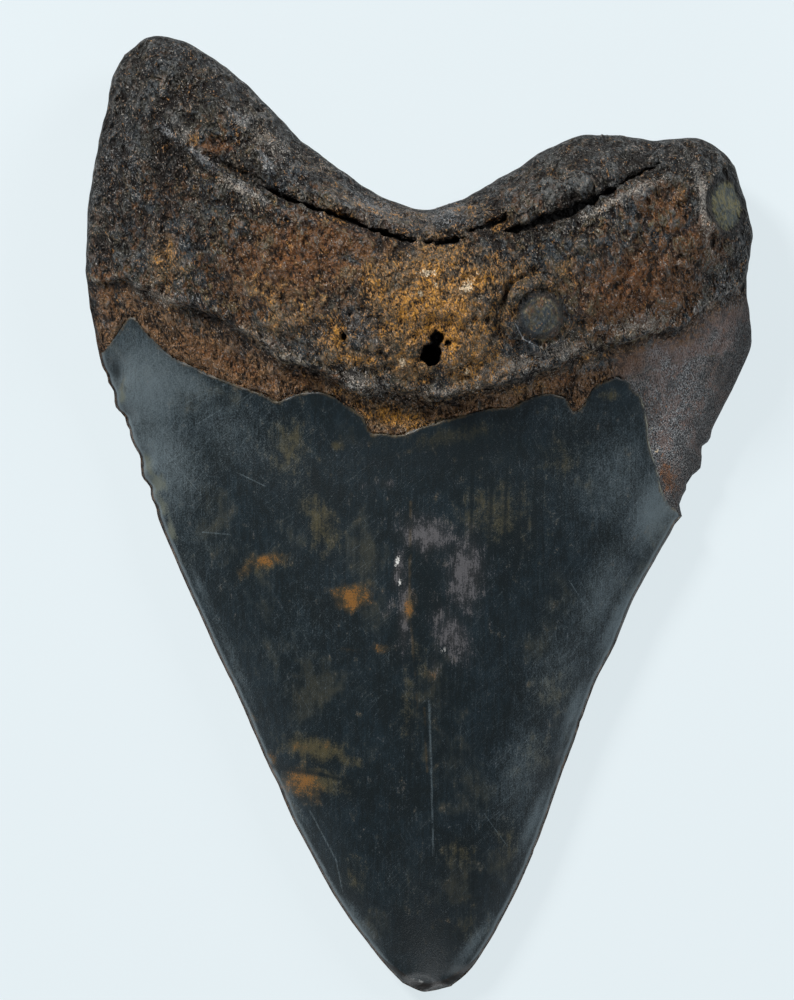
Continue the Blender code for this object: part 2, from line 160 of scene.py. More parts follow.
ROOT_TOP = [
    (-41.9, 65.4), (-39.3, 67.5), (-37.1, 68.1), (-34.6, 67.6), (-31.7, 66.4), (-26.6, 62.9), (-21.2, 57.8),
    (-16.3, 52.9), (-10.5, 48.5), (-5.1, 45), (-0.8, 43.6), (1.5, 43.4), (3.9, 44.1), (8.5, 46.1),
    (13.9, 49.3), (18.6, 52.2), (22.6, 53.8), (28.2, 53.9), (32.9, 53.2), (38, 53.6), (40.7, 53),
    (42.9, 51.7), (44.6, 49.6),
]
ENAMEL_EDGE = [
    (-43.2, 25.2), (-40.8, 28.1), (-38.7, 25.9), (-35.5, 22.8), (-32.1, 21), (-29, 19.6), (-25.8, 18.4),
    (-23.3, 17.5), (-21.4, 16.8), (-20, 16), (-18.2, 16.7), (-16.4, 17.2), (-14.4, 17.3), (-12.3, 16.8),
    (-10.8, 15.7), (-8.8, 14.6), (-7.9, 13.7), (-7, 11.7), (-5.5, 11.5), (-3, 11.3), (-0.7, 12.1),
    (1.9, 12.9), (4, 13.6), (7.2, 14.4), (10.4, 15.1), (12.5, 15.2), (14.6, 16.1), (17, 17), (19, 17),
    (20.7, 16.2), (21.4, 14.6), (23, 15.6), (24.1, 17.7), (25.7, 18.8), (27.5, 19.4), (29.1, 19.1),
    (32, 20.3), (36, 21.6), (41, 22.4),
]
LEDGE = [
    (-41.3, 32.8), (-36.6, 30.4), (-34.3, 29.4), (-30.1, 28.4), (-25.7, 26.1), (-22.4, 23.8), (-19.4, 21.6),
    (-16.3, 20.7), (-13.2, 19.5), (-10, 17.6), (-7.3, 16.4), (-5.6, 17.1), (-1.3, 16.9), (0.4, 16.4),
    (1.9, 15.8), (4, 16.2), (6.1, 17), (8.8, 17.8), (12.4, 18.2), (15.7, 19.6), (18.9, 20.5), (21.7, 22),
    (25.1, 23.3), (29.7, 24.5), (33, 25.7), (36.5, 26.2), (38.9, 28.4), (42.5, 30.6),
]
BREAK_LINE = [
    (37, 0.4), (35.4, 1.8), (34.4, 3.4), (33.8, 6.1), (33, 8.5), (32.4, 10.6), (32.2, 12.8), (31.7, 15.1),
    (31.1, 16.8), (29.8, 17.9), (28.8, 19.6),
]
OUTLINE_POINTS = 700
left_side, root_top, right_side, tip_edge = (
    smooth_path(points) for points in (LEFT_SIDE, ROOT_TOP, RIGHT_SIDE, TIP_EDGE)
)
outline = np.vstack([left_side, root_top[1:], right_side[::-1][1:], tip_edge[::-1][1:]])
outline = spaced_along(outline, np.linspace(0.0, 1.0, OUTLINE_POINTS))
outline_length = np.linalg.norm(np.diff(outline, axis=0), axis=1).sum()
print("outline length, mm:", round(float(outline_length), 1))

# %% [markdown]
# The grid of the surface is stretched between those lines. A flat sheet could be cut to the
# outline, but its rim would be jagged and no row would follow the ledge. So each of the three
# bands, crown, enamel-to-ledge and root, is a Coons patch: a surface that blends its four borders.
# Rows gather where the surface steps or turns over, and columns gather at the rims, so the sharp
# places get small faces and the smooth crown gets large ones.

# %% The grid seen from above
# Each line of the grid: its number of steps, how deep it gathers at either end, and how far.
ACROSS_STEPS = (284, 0.9, 0.9, 9)
CROWN_STEPS = (144, 0.9, 0.93, 6)
BAND_STEPS = (16, 0.93, 0.5, 3)
ROOT_STEPS = (116, 0.9, 0.9, 7)


def gathered(count, start, end, reach):
    """Shares from 0 to 1: equal steps, cut near an end by a bell curve of this depth and reach."""
    middle = (np.arange(count) + 0.5) / count
    width = reach / count
    step = 1.0 - start * bell(middle, 0.0, width) - end * bell(middle, 1.0, width)
    return np.concatenate([[0.0], np.cumsum(step) / step.sum()])


def split_at(path, heights):
    """A side of the tooth cut into stretches where it passes these heights up the Y axis."""
    cuts = [0] + [int(np.argmax(path[:, 1] >= height)) for height in heights] + [len(path) - 1]
    return [path[start : end + 1] for start, end in zip(cuts, cuts[1:])]


def crossing_line(points, left, right, shares):
    """A line across the tooth: X runs evenly from side to side, Y is read off the smooth curve."""
    line = smooth_path([left] + points + [right])
    x = left[0] + (right[0] - left[0]) * shares
    return np.stack([x, np.interp(x, np.maximum.accumulate(line[:, 0]), line[:, 1])], axis=1)


def filled_patch(low, high, left, right, up, across):
    """Coons patch: both ruled surfaces added, less the flat surface through the four corners."""
    w, c = up[:, None, None], across[None, :, None]
    corners = (1 - c) * ((1 - w) * low[0] + w * high[0]) + c * ((1 - w) * low[-1] + w * high[-1])
    return (1 - w) * low + w * high + (1 - c) * left[:, None] + c * right[:, None] - corners


across = gathered(*ACROSS_STEPS)
left_parts, right_parts = (split_at(side, [ENAMEL_END_Y, LEDGE_END_Y]) for side in (left_side, right_side))
lines = [
    spaced_along(tip_edge, across),
    crossing_line(ENAMEL_EDGE, tuple(left_parts[0][-1]), tuple(right_parts[0][-1]), across),
    crossing_line(LEDGE, tuple(left_parts[1][-1]), tuple(right_parts[1][-1]), across),
    spaced_along(root_top, across),
]
plans, ups, bands = [], [], []
for number, steps in enumerate((CROWN_STEPS, BAND_STEPS, ROOT_STEPS)):
    rows = gathered(*steps)
    left, right = (spaced_along(parts[number], rows) for parts in (left_parts, right_parts))
    patch = filled_patch(lines[number], lines[number + 1], left, right, rows, across)
    first_row = 0 if number == 0 else 1
    plans.append(patch[first_row:])
    ups.append(rows[first_row:])
    bands.append(np.full(len(rows) - first_row, number))
plan = np.vstack(plans)
up, band = (np.broadcast_to(np.concatenate(part)[:, None], plan.shape[:2]) for part in (ups, bands))
column_length = np.linalg.norm(lines[3] - lines[2], axis=1)
print("grid:", plan.shape[:2], "points")

# %% [markdown]
# Random relief comes from gradient noise, worked out on whole arrays: every lattice corner has a
# random slope, and the eight slopes around a point are blended. A size with three different
# numbers stretches the lumps, which is how the fibres of the root are made. A Displace modifier
# has such noise too, but here the same numbers can also steer the colours.

# %% Random relief
LATTICE = 256
NOISE_GAIN = 1.6
SHEET_LEVEL = 0.37


def cloud(points, size, seed, octaves=1):
    """Gradient noise, about -1 to 1: slopes at lattice corners blended by 6t^5 - 15t^4 + 10t^3."""
    random = np.random.default_rng(seed)
    order = random.permutation(LATTICE)
    slopes = random.normal(size=(LATTICE, 3))
    slopes /= np.linalg.norm(slopes, axis=1, keepdims=True)
    total = np.zeros(points.shape[:-1])
    for octave in range(octaves):
        place = points * 2.0**octave / np.asarray(size, float)
        cell = np.floor(place).astype(int)
        inside = place - cell
        ease = inside**3 * (inside * (6.0 * inside - 15.0) + 10.0)
        for corner in np.ndindex(2, 2, 2):
            i, j, k = np.moveaxis(cell + corner, -1, 0) % LATTICE
            which = order[(order[(order[i] + j) % LATTICE] + k) % LATTICE]
            weight = np.prod(np.where(np.array(corner, bool), ease, 1.0 - ease), axis=-1)
            total += weight * np.sum(slopes[which] * (inside - corner), axis=-1) / 2.0**octave
    return NOISE_GAIN * total


def flat_cloud(x, y, size, seed, octaves=1):
    """The same noise on a level sheet."""
    return cloud(np.stack([x, y, np.full_like(x, SHEET_LEVEL)], axis=-1), size, seed, octaves)


# %% [markdown]
# The rim. The gap to the outline rules how each face turns over the edge, so it is measured for
# every point, with the direction that points into the tooth. The cutting edges then get their
# chips and scallops, and the root its rough outline: each point near the rim is pushed along that
# direction, less and less further in. Both faces use the same push, so they still meet.

# %% Rim and chips
# Side, place up the Y axis, half length and depth of each chip; a negative depth stands out.
EDGE_CHIPS = [
    (-1, 19.9, 0.9, 0.4), (-1, 17.6, 1.2, 0.6), (-1, 14, 0.8, 0.7), (-1, 12.3, 0.7, 0.4),
    (-1, 8.4, 1, 0.35), (-1, 5.6, 0.9, -0.25), (-1, 4, 0.9, 0.4), (-1, 1.2, 0.9, 0.25),
    (-1, -38.6, 1.6, 0.2), (1, 10.9, 0.7, -0.3), (1, 9.6, 0.9, 0.6), (1, 7, 0.8, -0.45), (1, 4.9, 0.7, 0.4),
    (1, 2, 1.2, 0.5), (1, 0.2, 0.5, -0.5), (1, -29.4, 0.5, 0.1), (1, -34.3, 0.4, 0.12), (1, -36, 0.35, 0.1),
    (1, -47.5, 0.5, 0.1),
]
CHIP_REACH = 1.7


def rim_frame(path, x, y):
    """Gap to the outline, and the inward direction there: the nearest stretch turned by 90 degrees."""
    gap = np.full(x.shape, np.inf)
    inward = np.zeros(x.shape + (2,))
    for start, end in zip(path[:-1], path[1:]):
        run_x, run_y = (end - start) / np.linalg.norm(end - start)
        here, _ = gap_to_stretch(start, end, x, y)
        closer = here < gap
        gap = np.where(closer, here, gap)
        inward[closer] = (run_y, -run_x)
    return gap, inward


def chip_push(x, y):
    """How far the outline is pushed in: bell curves up the edges, and random roughness."""
    push = np.zeros(x.shape)
    for side, height, half_length, depth in EDGE_CHIPS:
        push += depth * bell(y, height, half_length) * (x * side > 0.0)
    on_root = smooth_step(20.0, 30.0, y)
    worn = 0.05 * flat_cloud(x, y, 3.5, 21) + 0.03 * flat_cloud(x, y, 1.0, 22)
    rough = 0.22 * flat_cloud(x, y, 3.8, 23) + 0.09 * flat_cloud(x, y, 1.5, 24)
    return push + worn * (1.0 - on_root) + rough * on_root


def gathered_round(points, centre, radius, reach):
    """Pulls grid points towards a circle: the share of the way to it is raised to a power."""
    offset = points - np.asarray(centre)
    r = np.linalg.norm(offset, axis=-1, keepdims=True)
    outer = radius + (reach - radius) * np.clip((r - radius) / (reach - radius), 0.0, 1.0) ** 1.6
    inner = radius - radius * np.clip((radius - r) / radius, 0.0, 1.0) ** 1.5
    wanted = np.where(r > radius, outer, inner)
    moved = np.asarray(centre) + offset * wanted / np.maximum(r, 1e-6)
    return np.where(r < reach, moved, points)


# Centre, radius and depth of each pore.
PORES = [
    ((1.5, 22.5), 1.5, 5.5), ((2.2, 24.5), 0.95, 2.6), ((3.8, 23.9), 0.45, 2.4), ((-10.6, 25), 0.42, 1.2),
    ((-9.8, 27.9), 0.28, 0.8), ((-4.6, 24.3), 0.24, 0.7), ((-6.7, 27.6), 0.22, 0.6),
]
PORE_REACH = 1.1
for centre, radius, _ in PORES:
    plan = gathered_round(plan, centre, radius, radius + PORE_REACH)
x, y = plan[..., 0], plan[..., 1]
rim_gap, inward = rim_frame(outline, x, y)
rim_gap[[0, -1], :] = 0.0
rim_gap[:, [0, -1]] = 0.0
print("widest gap to the rim, mm:", round(float(rim_gap.max()), 1))

# %% [markdown]
# The front face, seen from the side, is three shapes in a row. The crown rises from the worn tip
# like 1 - exp(-s), and bows from edge to edge as a parabola. The root steps up at the ledge,
# swells above it and falls slowly to its top. Between them lies a rough band where the enamel
# ends. It could all be sculpted, but a formula for each shape keeps its height open to change.
# The whole then rolls over the rim as a quarter circle.

# %% Heights of the front face
THICKNESS = 27.0
ENAMEL_THICKNESS = 0.45


def side_x(path, y):
    """X of one side at this place up the Y axis, averaged over 9 mm so that chips drop out."""
    heights = np.arange(TIP_Y - 4.0, 75.0)
    across_at = np.interp(heights, np.maximum.accumulate(path[:, 1]), path[:, 0])
    return np.interp(y, heights[4:-4], np.convolve(across_at, np.full(9, 1.0 / 9.0), "valid"))


left_x, right_x = side_x(left_side, y), side_x(right_side, y)
share = (x - left_x) / (right_x - left_x)


def rim_height(y):
    """Height of the rim above the table: 2.6 mm at the tip, 4.2 at the enamel's end, 8.5 at the root."""
    crown = 2.6 + 1.6 * smooth_step(TIP_Y, 5.0, y)
    return crown + (8.5 - crown) * smooth_step(*ROOT_BLEND, y)


def crown_height(share, y):
    """Edge height, plus 12.4 (1 - exp(-s/30))^0.9 along the crown times 1 - c^2 across it."""
    along = np.clip(1.0 - np.exp(-(y - TIP_Y) / 30.0), 0.0, 1.0) ** 0.9
    return rim_height(y) + 0.9 + 12.4 * along * (1.0 - (2.0 * share - 1.0) ** 2)


def band_rise(share):
    """How much the band under the ledge stands up: more towards the sides."""
    return 0.8 + 1.4 * np.abs(2.0 * share - 1.0)


def root_height(up, share, x, y):
    """Foot, plus the ledge's step, plus a climb of 1 - exp(-(l/r)^1.4) to the body, r 7.5 to 10.5 mm."""
    side = np.abs(2.0 * share - 1.0)
    above_ledge = up * column_length
    first_mm = np.minimum(above_ledge, 1.0)
    ragged = above_ledge + (flat_cloud(x, y, 2.8, 27) + 0.5 * flat_cloud(x, y, 1.2, 28)) * first_mm
    foot = crown_height(share, y) - ENAMEL_THICKNESS + band_rise(share)
    step = 2.2 * (1.0 - 0.4 * smooth_step(0.1, 0.7, side)) * smooth_step(0.0, 0.5, ragged)
    step += 0.4 * bell(ragged, 0.9, 0.6) * first_mm
    crest = THICKNESS - 10.5 * ((x - NOTCH_X) / 47.0) ** 2
    body = crest * (1.0 - 0.17 * np.clip((up - 0.4) / 0.6, 0.0, 1.0) ** 1.8)
    climb = 1.0 - np.exp(-((above_ledge / (7.5 + 3.0 * side)) ** 1.4))
    return foot + step + (body - foot - step) * climb


print("rim at the tip and at the root, mm:", [round(float(rim_height(at)), 1) for at in (TIP_Y, 40.0)])

# %% [markdown]
# Two kinds of damage change the crown. At the right a piece of the enamel broke away along a
# ragged line, so the surface drops there by the enamel's thickness. Along the cutting edges small
# facets were knocked off, as shallow dishes with flat floors. Then the three shapes are worked out.

# %% Broken enamel and facets
BEYOND_THE_TOOTH = 60.0
# Centre, radii and depth of the facets knocked off the cutting edges.
EDGE_FACETS = [
    ((-43, 20.4), (1.9, 2.2), 1.1), ((-41.9, 14.2), (1.5, 1.3), 0.9), ((-39.3, 8), (1.6, 1.3), 0.7),
    ((-38.3, 4.6), (1.5, 1.3), 0.7), ((-37.3, 1.4), (1.4, 1.1), 0.5), ((-36.3, -1.6), (1.2, 1), 0.4),
    ((-19.4, -41), (1, 2.6), 0.5), ((22.1, -29.5), (0.9, 0.8), 0.5), ((20.5, -34.6), (0.9, 1), 0.5),
    ((6, -65.8), (2.2, 1.1), 0.8), ((-0.6, -66.9), (2, 0.9), 0.7),
]


def enamel_left(x, y):
    """Signed distance in mm from the line where the enamel broke away, positive on the enamel."""
    line = np.asarray(BREAK_LINE)
    edge = np.interp(y, line[:, 1], line[:, 0], left=BEYOND_THE_TOOTH)
    return distance_to(smooth_path(BREAK_LINE), x, y) * np.where(x < edge, 1.0, -1.0)


def soft_spots(x, y, spots):
    """Sum of soft round spots: height times exp(-d^4), where d is the distance in radii."""
    total = np.zeros(x.shape)
    for (cx, cy), (rx, ry), height in spots:
        total += height * np.exp(-((((x - cx) / rx) ** 2 + ((y - cy) / ry) ** 2) ** 2))
    return total


broken_gap = enamel_left(x, y)
points = np.stack([x, y, np.zeros_like(x)], axis=-1)
crown = crown_height(share, y) + 0.12 * cloud(points, 17.0, 31) + 0.02 * cloud(points, (5.0, 9.0, 5.0), 32)
crown -= ENAMEL_THICKNESS * (1.0 - smooth_step(-0.25, 0.2, broken_gap))
enamel_gap = np.maximum(distance_to(lines[1], x, y) + 0.2 * flat_cloud(x, y, 1.3, 33), 0.0)
crown -= 0.15 * (1.0 - quarter_round(enamel_gap, 0.3)) * smooth_step(0.0, 1.0, broken_gap)
crown -= soft_spots(x, y, EDGE_FACETS)
skewed = up**1.6
band_height = crown_height(share, y) - ENAMEL_THICKNESS + up * band_rise(share)
band_height += 0.3 * bell(up, 0.16, 0.12) * smooth_step(0.0, 0.06, up) - 1.3 * skewed * (1.0 - skewed)
root = root_height(up, share, x, y)
print("crown crest, mm:", round(float(crown.max()), 1), " root crest, mm:", round(float(root.max()), 1))

# %% [markdown]
# Marks could be sculpted by hand. Here each is a formula instead: a ring, a bell or a channel of
# the distance to a point or a path, so that it can be moved or made deeper by one number. The
# soft ellipses of painted() serve for low ridges now, and for stains later on.

# %% Tools for the marks
def widths_away(paths, x, y):
    """Distance to the nearest stretch, counted in the half width that the channel has there."""
    nearest = np.full(x.shape, np.inf)
    for start, end in (pair for path in paths for pair in zip(path[:-1], path[1:])):
        gap, along = gap_to_stretch(start, end, x, y)
        nearest = np.minimum(nearest, gap / (start[2] + (end[2] - start[2]) * along))
    return nearest


def barnacle_scar(x, y, centre, radius):
    """A low dome, a sharp moat round it, and an outer rim that is strongest at the upper left."""
    r = np.hypot(x - centre[0], y - centre[1]) / radius
    upper_left = 0.5 + 0.5 * np.cos(np.arctan2(y - centre[1], x - centre[0]) - 2.5)
    dome = 0.35 * np.clip(1.0 - r**2, 0.0, 1.0) + 0.03 * np.cos(14.0 * r) * (r < 1.0)
    rim = (0.15 + 0.35 * upper_left) * bell(r, 1.28, 0.16)
    return dome - 0.38 * bell(r, 1.06, 0.09) + rim - 0.7 * upper_left * bell(r, 1.66, 0.15)


def oval_scar(x, y, centre, radii):
    """A flat-floored dish with a ridge along its left side."""
    r = np.hypot((x - centre[0]) / radii[0], (y - centre[1]) / radii[1])
    left = smooth_step(0.2, -0.6, (x - centre[0]) / radii[0])
    return -0.75 * (1.0 - smooth_step(0.85, 1.1, r)) + 0.8 * left * bell(r, 1.35, 0.2)


def painted(x, y, strokes):
    """Soft ellipses: strength times exp(-d^2), d in radii along turned axes; the strongest wins."""
    total = np.zeros(x.shape)
    for cx, cy, rx, ry, turn, strength in strokes:
        cos, sin = math.cos(math.radians(turn)), math.sin(math.radians(turn))
        u = (cos * (x - cx) + sin * (y - cy)) / rx
        v = (cos * (y - cy) - sin * (x - cx)) / ry
        total = np.maximum(total, strength * np.exp(-(u * u + v * v)))
    return total


print("strength at the centre of a full stroke:", painted(np.zeros(1), np.zeros(1), [(0, 0, 1, 1, 0, 1)])[0])

# %% [markdown]
# What marks the root: the long groove under its lip, the pores where blood vessels went in, a
# round scar left by a barnacle, an oval one at the right shoulder, and the ribs that cross the
# band below the ledge. The larger ridges and hollows of the lobes are listed as soft ellipses.

# %% Groove, pores and scars
# Points of the groove and of the fold that runs on from it, each with its half width there.
GROOVES = [
    [
        (-21.6, 45.3, 0.1), (-19, 44.2, 0.3), (-15.8, 43, 0.42), (-13.2, 42.2, 0.28), (-10.8, 41.3, 0.34),
        (-7.4, 40, 0.36), (-4.7, 39, 0.44), (-2.2, 38.3, 0.24), (0.2, 37.9, 0.26), (3, 37.8, 0.34),
        (5.1, 38.2, 0.58), (6.1, 38.5, 0.08),
    ],
    [
        (6.5, 39.2, 0.2), (7.2, 39.5, 0.36), (7.9, 39.8, 0.1), (8.5, 40, 0.3), (11.3, 40.8, 0.26),
        (12.3, 41.2, 0.08),
    ],
    [
        (12, 39.4, 0.3), (13.2, 39.6, 0.66), (14.4, 40.1, 0.52), (15.3, 40.4, 0.28), (17, 40.9, 0.72),
        (20.2, 41.8, 0.85), (24.9, 44.3, 0.5), (28.9, 46.8, 0.4), (31.9, 48.5, 0.24), (33.4, 49.3, 0.06),
    ],
]
FOLD = [
    [(-29.5, 50, 0.3), (-27, 48.6, 0.6), (-24.5, 47.3, 0.75), (-22, 45.9, 0.6), (-19.6, 44.9, 0.4)],
]
# Soft ellipses: centre, two radii, turn in degrees and strength.
RIDGES = [
    (-33.6, 54.6, 4.6, 0.9, -52, 0.9), (-24.8, 45.3, 4, 0.8, -30, 0.7), (-17, 41.3, 5, 0.8, -25, 0.5),
    (-30.8, 50.6, 5.5, 1, -38, 0.7), (-24.5, 54, 6, 1.6, -42, 0.5), (-15, 47.2, 2.6, 1.4, -35, 0.5),
    (-20, 50.5, 3, 1.2, -40, 0.35), (-41.5, 47, 2.5, 5, 0, 0.4), (-24, 36, 5, 4, 20, 0.4),
    (9, 34, 5, 3, 20, 0.4), (26, 38, 6, 3, 20, 0.5), (34, 34, 5, 5, 0, 0.4), (38.6, 43.5, 1.2, 6, 6, 0.7),
    (29, 44.6, 6, 1.2, 28, 0.5), (21, 46, 9, 2.2, 26, 0.9), (-10, 42.8, 9, 1.2, -24, 0.6),
    (3, 39.6, 6, 1, 6, 0.5), (-36, 64, 5, 2, 20, 0.4),
]
HOLLOWS = [
    (-35.8, 48.8, 3, 4.5, -25, 0.8), (-40, 60, 2.5, 4, 0, 0.5), (-34, 49.3, 4.5, 2.2, -50, 0.9),
    (-33.4, 58.3, 3.2, 2.6, 0, 0.7), (-38, 40, 4, 5, 0, 0.4), (-14, 31, 4, 3, 0, 0.4),
    (-8.6, 26.5, 4.5, 3.5, 0, 0.8), (2, 24.8, 4.5, 4, 0, 0.8), (40, 33.5, 3, 3, 0, 0.5),
    (22, 33, 3, 2.5, 0, 0.4), (-24, 45, 4, 1.6, -25, 0.4), (30, 40.5, 3, 2, 20, 0.4),
    (-28.2, 51.5, 1.7, 1.2, -15, 0.55),
]
# Centre, radii and height of each spot.
SMALL_SCARS = [
    ((-27.9, 50.2), (1.6, 0.45), 0.25), ((-31.6, 52.3), (0.7, 0.7), 0.25), ((39.6, 29.2), (0.9, 0.7), -0.6),
    ((41.4, 30.1), (0.8, 0.9), 0.35),
]
# Place along the X axis and height of each rib.
BAND_RIBS = [(-7, 0.35), (-4.5, 0.4), (1.9, 0.45)]
RIB_HALF_WIDTH = 0.38
SCAR_CENTRE, SCAR_RADIUS = (16.6, 27.8), 3.45
OVAL_CENTRE, OVAL_RADII = (43.0, 43.6), (2.4, 3.9)
SWIRL_CENTRE, SWIRL_RADIUS = (-32.0, 59.2), 4.0

wander = 0.16 * flat_cloud(x, y, 2.0, 26)
groove_gap = widths_away(GROOVES, x, y + wander)
grooves = 1.0 - smooth_step(0.45, 1.15, groove_gap)
valley = bell(groove_gap, 0.0, 4.5) + 1.3 * bell(widths_away(FOLD, x, y + wander), 0.0, 1.0)
pores = np.zeros_like(x)
for centre, radius, depth in PORES:
    r = np.hypot(x - centre[0], y - centre[1])
    pores = np.maximum(pores, depth * (1.0 - smooth_step(radius - 0.12, radius + 0.12, r)))
swirl = np.hypot(x - SWIRL_CENTRE[0], y - SWIRL_CENTRE[1])
marks = barnacle_scar(x, y, SCAR_CENTRE, SCAR_RADIUS) + oval_scar(x, y, OVAL_CENTRE, OVAL_RADII)
marks += soft_spots(x, y, SMALL_SCARS) + 0.1 * np.cos(4.0 * swirl) * bell(swirl, 0.0, SWIRL_RADIUS)
ridges, hollows = painted(x, y, RIDGES), painted(x, y, HOLLOWS)
root = root + marks + 1.4 * ridges - 1.3 * hollows - 1.7 * grooves - 0.8 * valley - pores
ribs = sum(height * bell(x, at, RIB_HALF_WIDTH) for at, height in BAND_RIBS)
panel = smooth_step(-7.2, -6.6, x) * (1.0 - smooth_step(1.6, 2.2, x))
band_height = band_height + ribs - 0.35 * panel * np.sin(math.pi * up)
print("groove points:", int((grooves > 0.5).sum()), " pore points:", int((pores > 0.5).sum()))

# %% [markdown]
# Now the front and back sheets get their final heights. The cutting edge is a narrow bevel with
# the blade rising inside it, and the root rolls over in a wide curve. The back is flat where the
# tooth rests, lifts towards the tip, and hollows a little between the lobes. On the back the
# enamel reaches further up, so its edge runs in an arch closer to the notch.

# %% Front and back sheets
def front_roll(gap, x, y):
    """Share of the height at a gap from the rim: bevel and blade on the crown, round on the root."""
    on_root = smooth_step(*ROOT_BLEND, y)
    blade = 0.6 * quarter_round(gap, 0.4) + 0.4 * quarter_round(gap - 0.15, 0.9)
    at_notch = bell(x, NOTCH_X, 14.0) * smooth_step(34.0, 42.0, y)
    wide = quarter_round(gap, (1.8 + 7.7 * on_root) * (1.0 - 0.35 * at_notch))
    return blade + (wide - blade) * smooth_step(0.0, 0.5, on_root)


def back_sheet(x, y, gap):
    """Lift of the tip, plus the rim's height where it turns over, plus the hollow of the root."""
    on_root = smooth_step(*ROOT_BLEND, y)
    half_width = 40.0 * smooth_step(TIP_Y - 8.0, 20.0, y)
    rounding = np.minimum(16.0, 0.9 * half_width) * (1.0 - on_root) + 7.0 * on_root
    lift = 1.3 * np.clip((-38.0 - y) / 30.0, 0.0, 1.0) ** 2
    hollow = 1.6 * bell(x, NOTCH_X, 13.0) * smooth_step(16.0, 40.0, y)
    bow = (1.0 - np.clip(gap / rounding, 0.0, 1.0)) ** 2
    fall = bow + (1.0 - quarter_round(gap, rounding) - bow) * on_root
    return lift + (rim_height(y) - lift) * fall + hollow * (1.0 - fall)


def back_enamel_gap(x, y):
    """Signed distance from the enamel's arched edge on the back, positive on the enamel."""
    arch = 25.0 + 6.0 * np.abs((x - NOTCH_X) / 45.0) ** 1.6 + 0.5 * flat_cloud(x, y, 5.0, 51, 2)
    return 0.95 * (arch - y)


inside = np.select([band == 0, band == 1], [crown, band_height], root)
front = rim_height(y) + (inside - rim_height(y)) * front_roll(rim_gap, x, y)
back = back_sheet(x, y, rim_gap)
push = chip_push(x, y) * bell(rim_gap, 0.0, CHIP_REACH)
print("front sheet tops out at", round(float(front.max()), 2), "mm")

# %% [markdown]
# Close up, the root is a felt of short fibres with small lumps and hollows, and the dentine laid
# bare at the right is finely grained. A bump would do for the finest of it, but lumps of 1 mm and
# more change the shading and the outline, so they are real. The relief is pushed out along the
# surface's own slope, so that it stands up on steep sides too, and it fades out at the rim.

# %% Relief pushed out of the surface
def outward(points):
    """Unit vectors across the surface: the cross product of the steps along a row and up a column."""
    normal = np.cross(np.gradient(points, axis=1), np.gradient(points, axis=0))
    return normal / np.linalg.norm(normal, axis=-1, keepdims=True)


def scales(x, y, size, seed):
    """Rounded scales: 1 less the distance to the nearest of points scattered one to a cell."""
    scatter = np.random.default_rng(seed).random((LATTICE, LATTICE, 2))
    column, row = np.floor(x / size).astype(int), np.floor(y / size).astype(int)
    nearest = np.full(x.shape, np.inf)
    for step_x, step_y in np.ndindex(3, 3):
        i, j = column + step_x - 1, row + step_y - 1
        spot = scatter[i % LATTICE, j % LATTICE]
        nearest = np.minimum(nearest, np.hypot(x / size - i - spot[..., 0], y / size - j - spot[..., 1]))
    return 1.0 - nearest


def felt(points):
    """Lumps and stretched fibres, with valleys and crests along the lines where noise passes 0."""
    bent = points + 0.8 * cloud(points, 6.0, 60)[..., None] * np.array([1.0, 0.3, 0.0])
    lumps = 0.30 * cloud(points, (7.0, 8.5, 8.0), 61) + 0.34 * cloud(points, (3.0, 4.2, 3.6), 62)
    fibres = 0.34 * cloud(bent, (1.3, 2.3, 1.8), 63) + 0.16 * cloud(bent, (0.8, 1.3, 1.0), 64)
    net = 0.8 * np.minimum(np.abs(cloud(bent, (1.9, 3.2, 2.4), 65)) - 0.2, 0.1)
    crests = 0.30 * (1.0 - np.minimum(np.abs(cloud(bent, (1.7, 2.2, 2.0), 66)) / 0.35, 1.0))
    return lumps + fibres + net + crests - 0.08


def flat_disc(centre, radii, power):
    """1 inside an ellipse and 0 outside: exp(-d^power), where d is the distance in radii."""
    return np.exp(-(np.hypot((x - centre[0]) / radii[0], (y - centre[1]) / radii[1]) ** power))


# Places rubbed smooth along the groove, as soft ellipses.
SMOOTHED = [(-23.5, 46.9, 4.5, 0.9, -25, 1.0), (-6.0, 42.2, 8.0, 1.0, -25, 1.0)]
on_front = np.stack([x, y, front], axis=-1)
enamel = np.where(band == 0, np.minimum(enamel_gap, broken_gap), -distance_to(lines[1], x, y))
bare = 1.0 - smooth_step(-0.3, 0.1, enamel)
above_ledge = np.where(band == 2, 1.0, -1.0) * distance_to(lines[2], x, y)
felted = bare * (0.3 + 0.25 * (band == 1) + 0.7 * smooth_step(-0.3, 0.8, above_ledge))
felted = felted * (1.0 - bell(rim_gap, 0.0, 0.6))
calm = flat_disc(SCAR_CENTRE, (3.5, 3.5), 8) + flat_disc(OVAL_CENTRE, (2.5, 3.9), 8)
calm = np.clip(calm + 0.35 * painted(x, y, SMOOTHED), 0.0, 1.0)
oval = flat_disc(OVAL_CENTRE, (2.6, 4.1), 4)
bend_x, bend_y = (0.6 * flat_cloud(x, y, 2.2, seed) for seed in (67, 68))
scaly = scales(x + bend_x, y + bend_y, 2.6, 69) - 0.55
relief = felt(on_front) + 0.75 * scaly * smooth_step(-0.7, 0.3, flat_cloud(x, y, 9.0, 70))
relief = relief * felted * (1.0 - 0.85 * calm) * (1.0 - grooves)
relief -= 0.05 * bare * felted
front_points = on_front + outward(on_front) * relief[..., None]
front_points[..., :2] += inward * push[..., None]
print("relief, mm:", round(float(relief.min()), 2), "to", round(float(relief.max()), 2))

# %% [markdown]
# The back is half as fine, because it lies on the table. Its root is rough and lies about 0.7 mm
# further in than its enamel. Nothing of it may go below the table, so relief only cuts in.

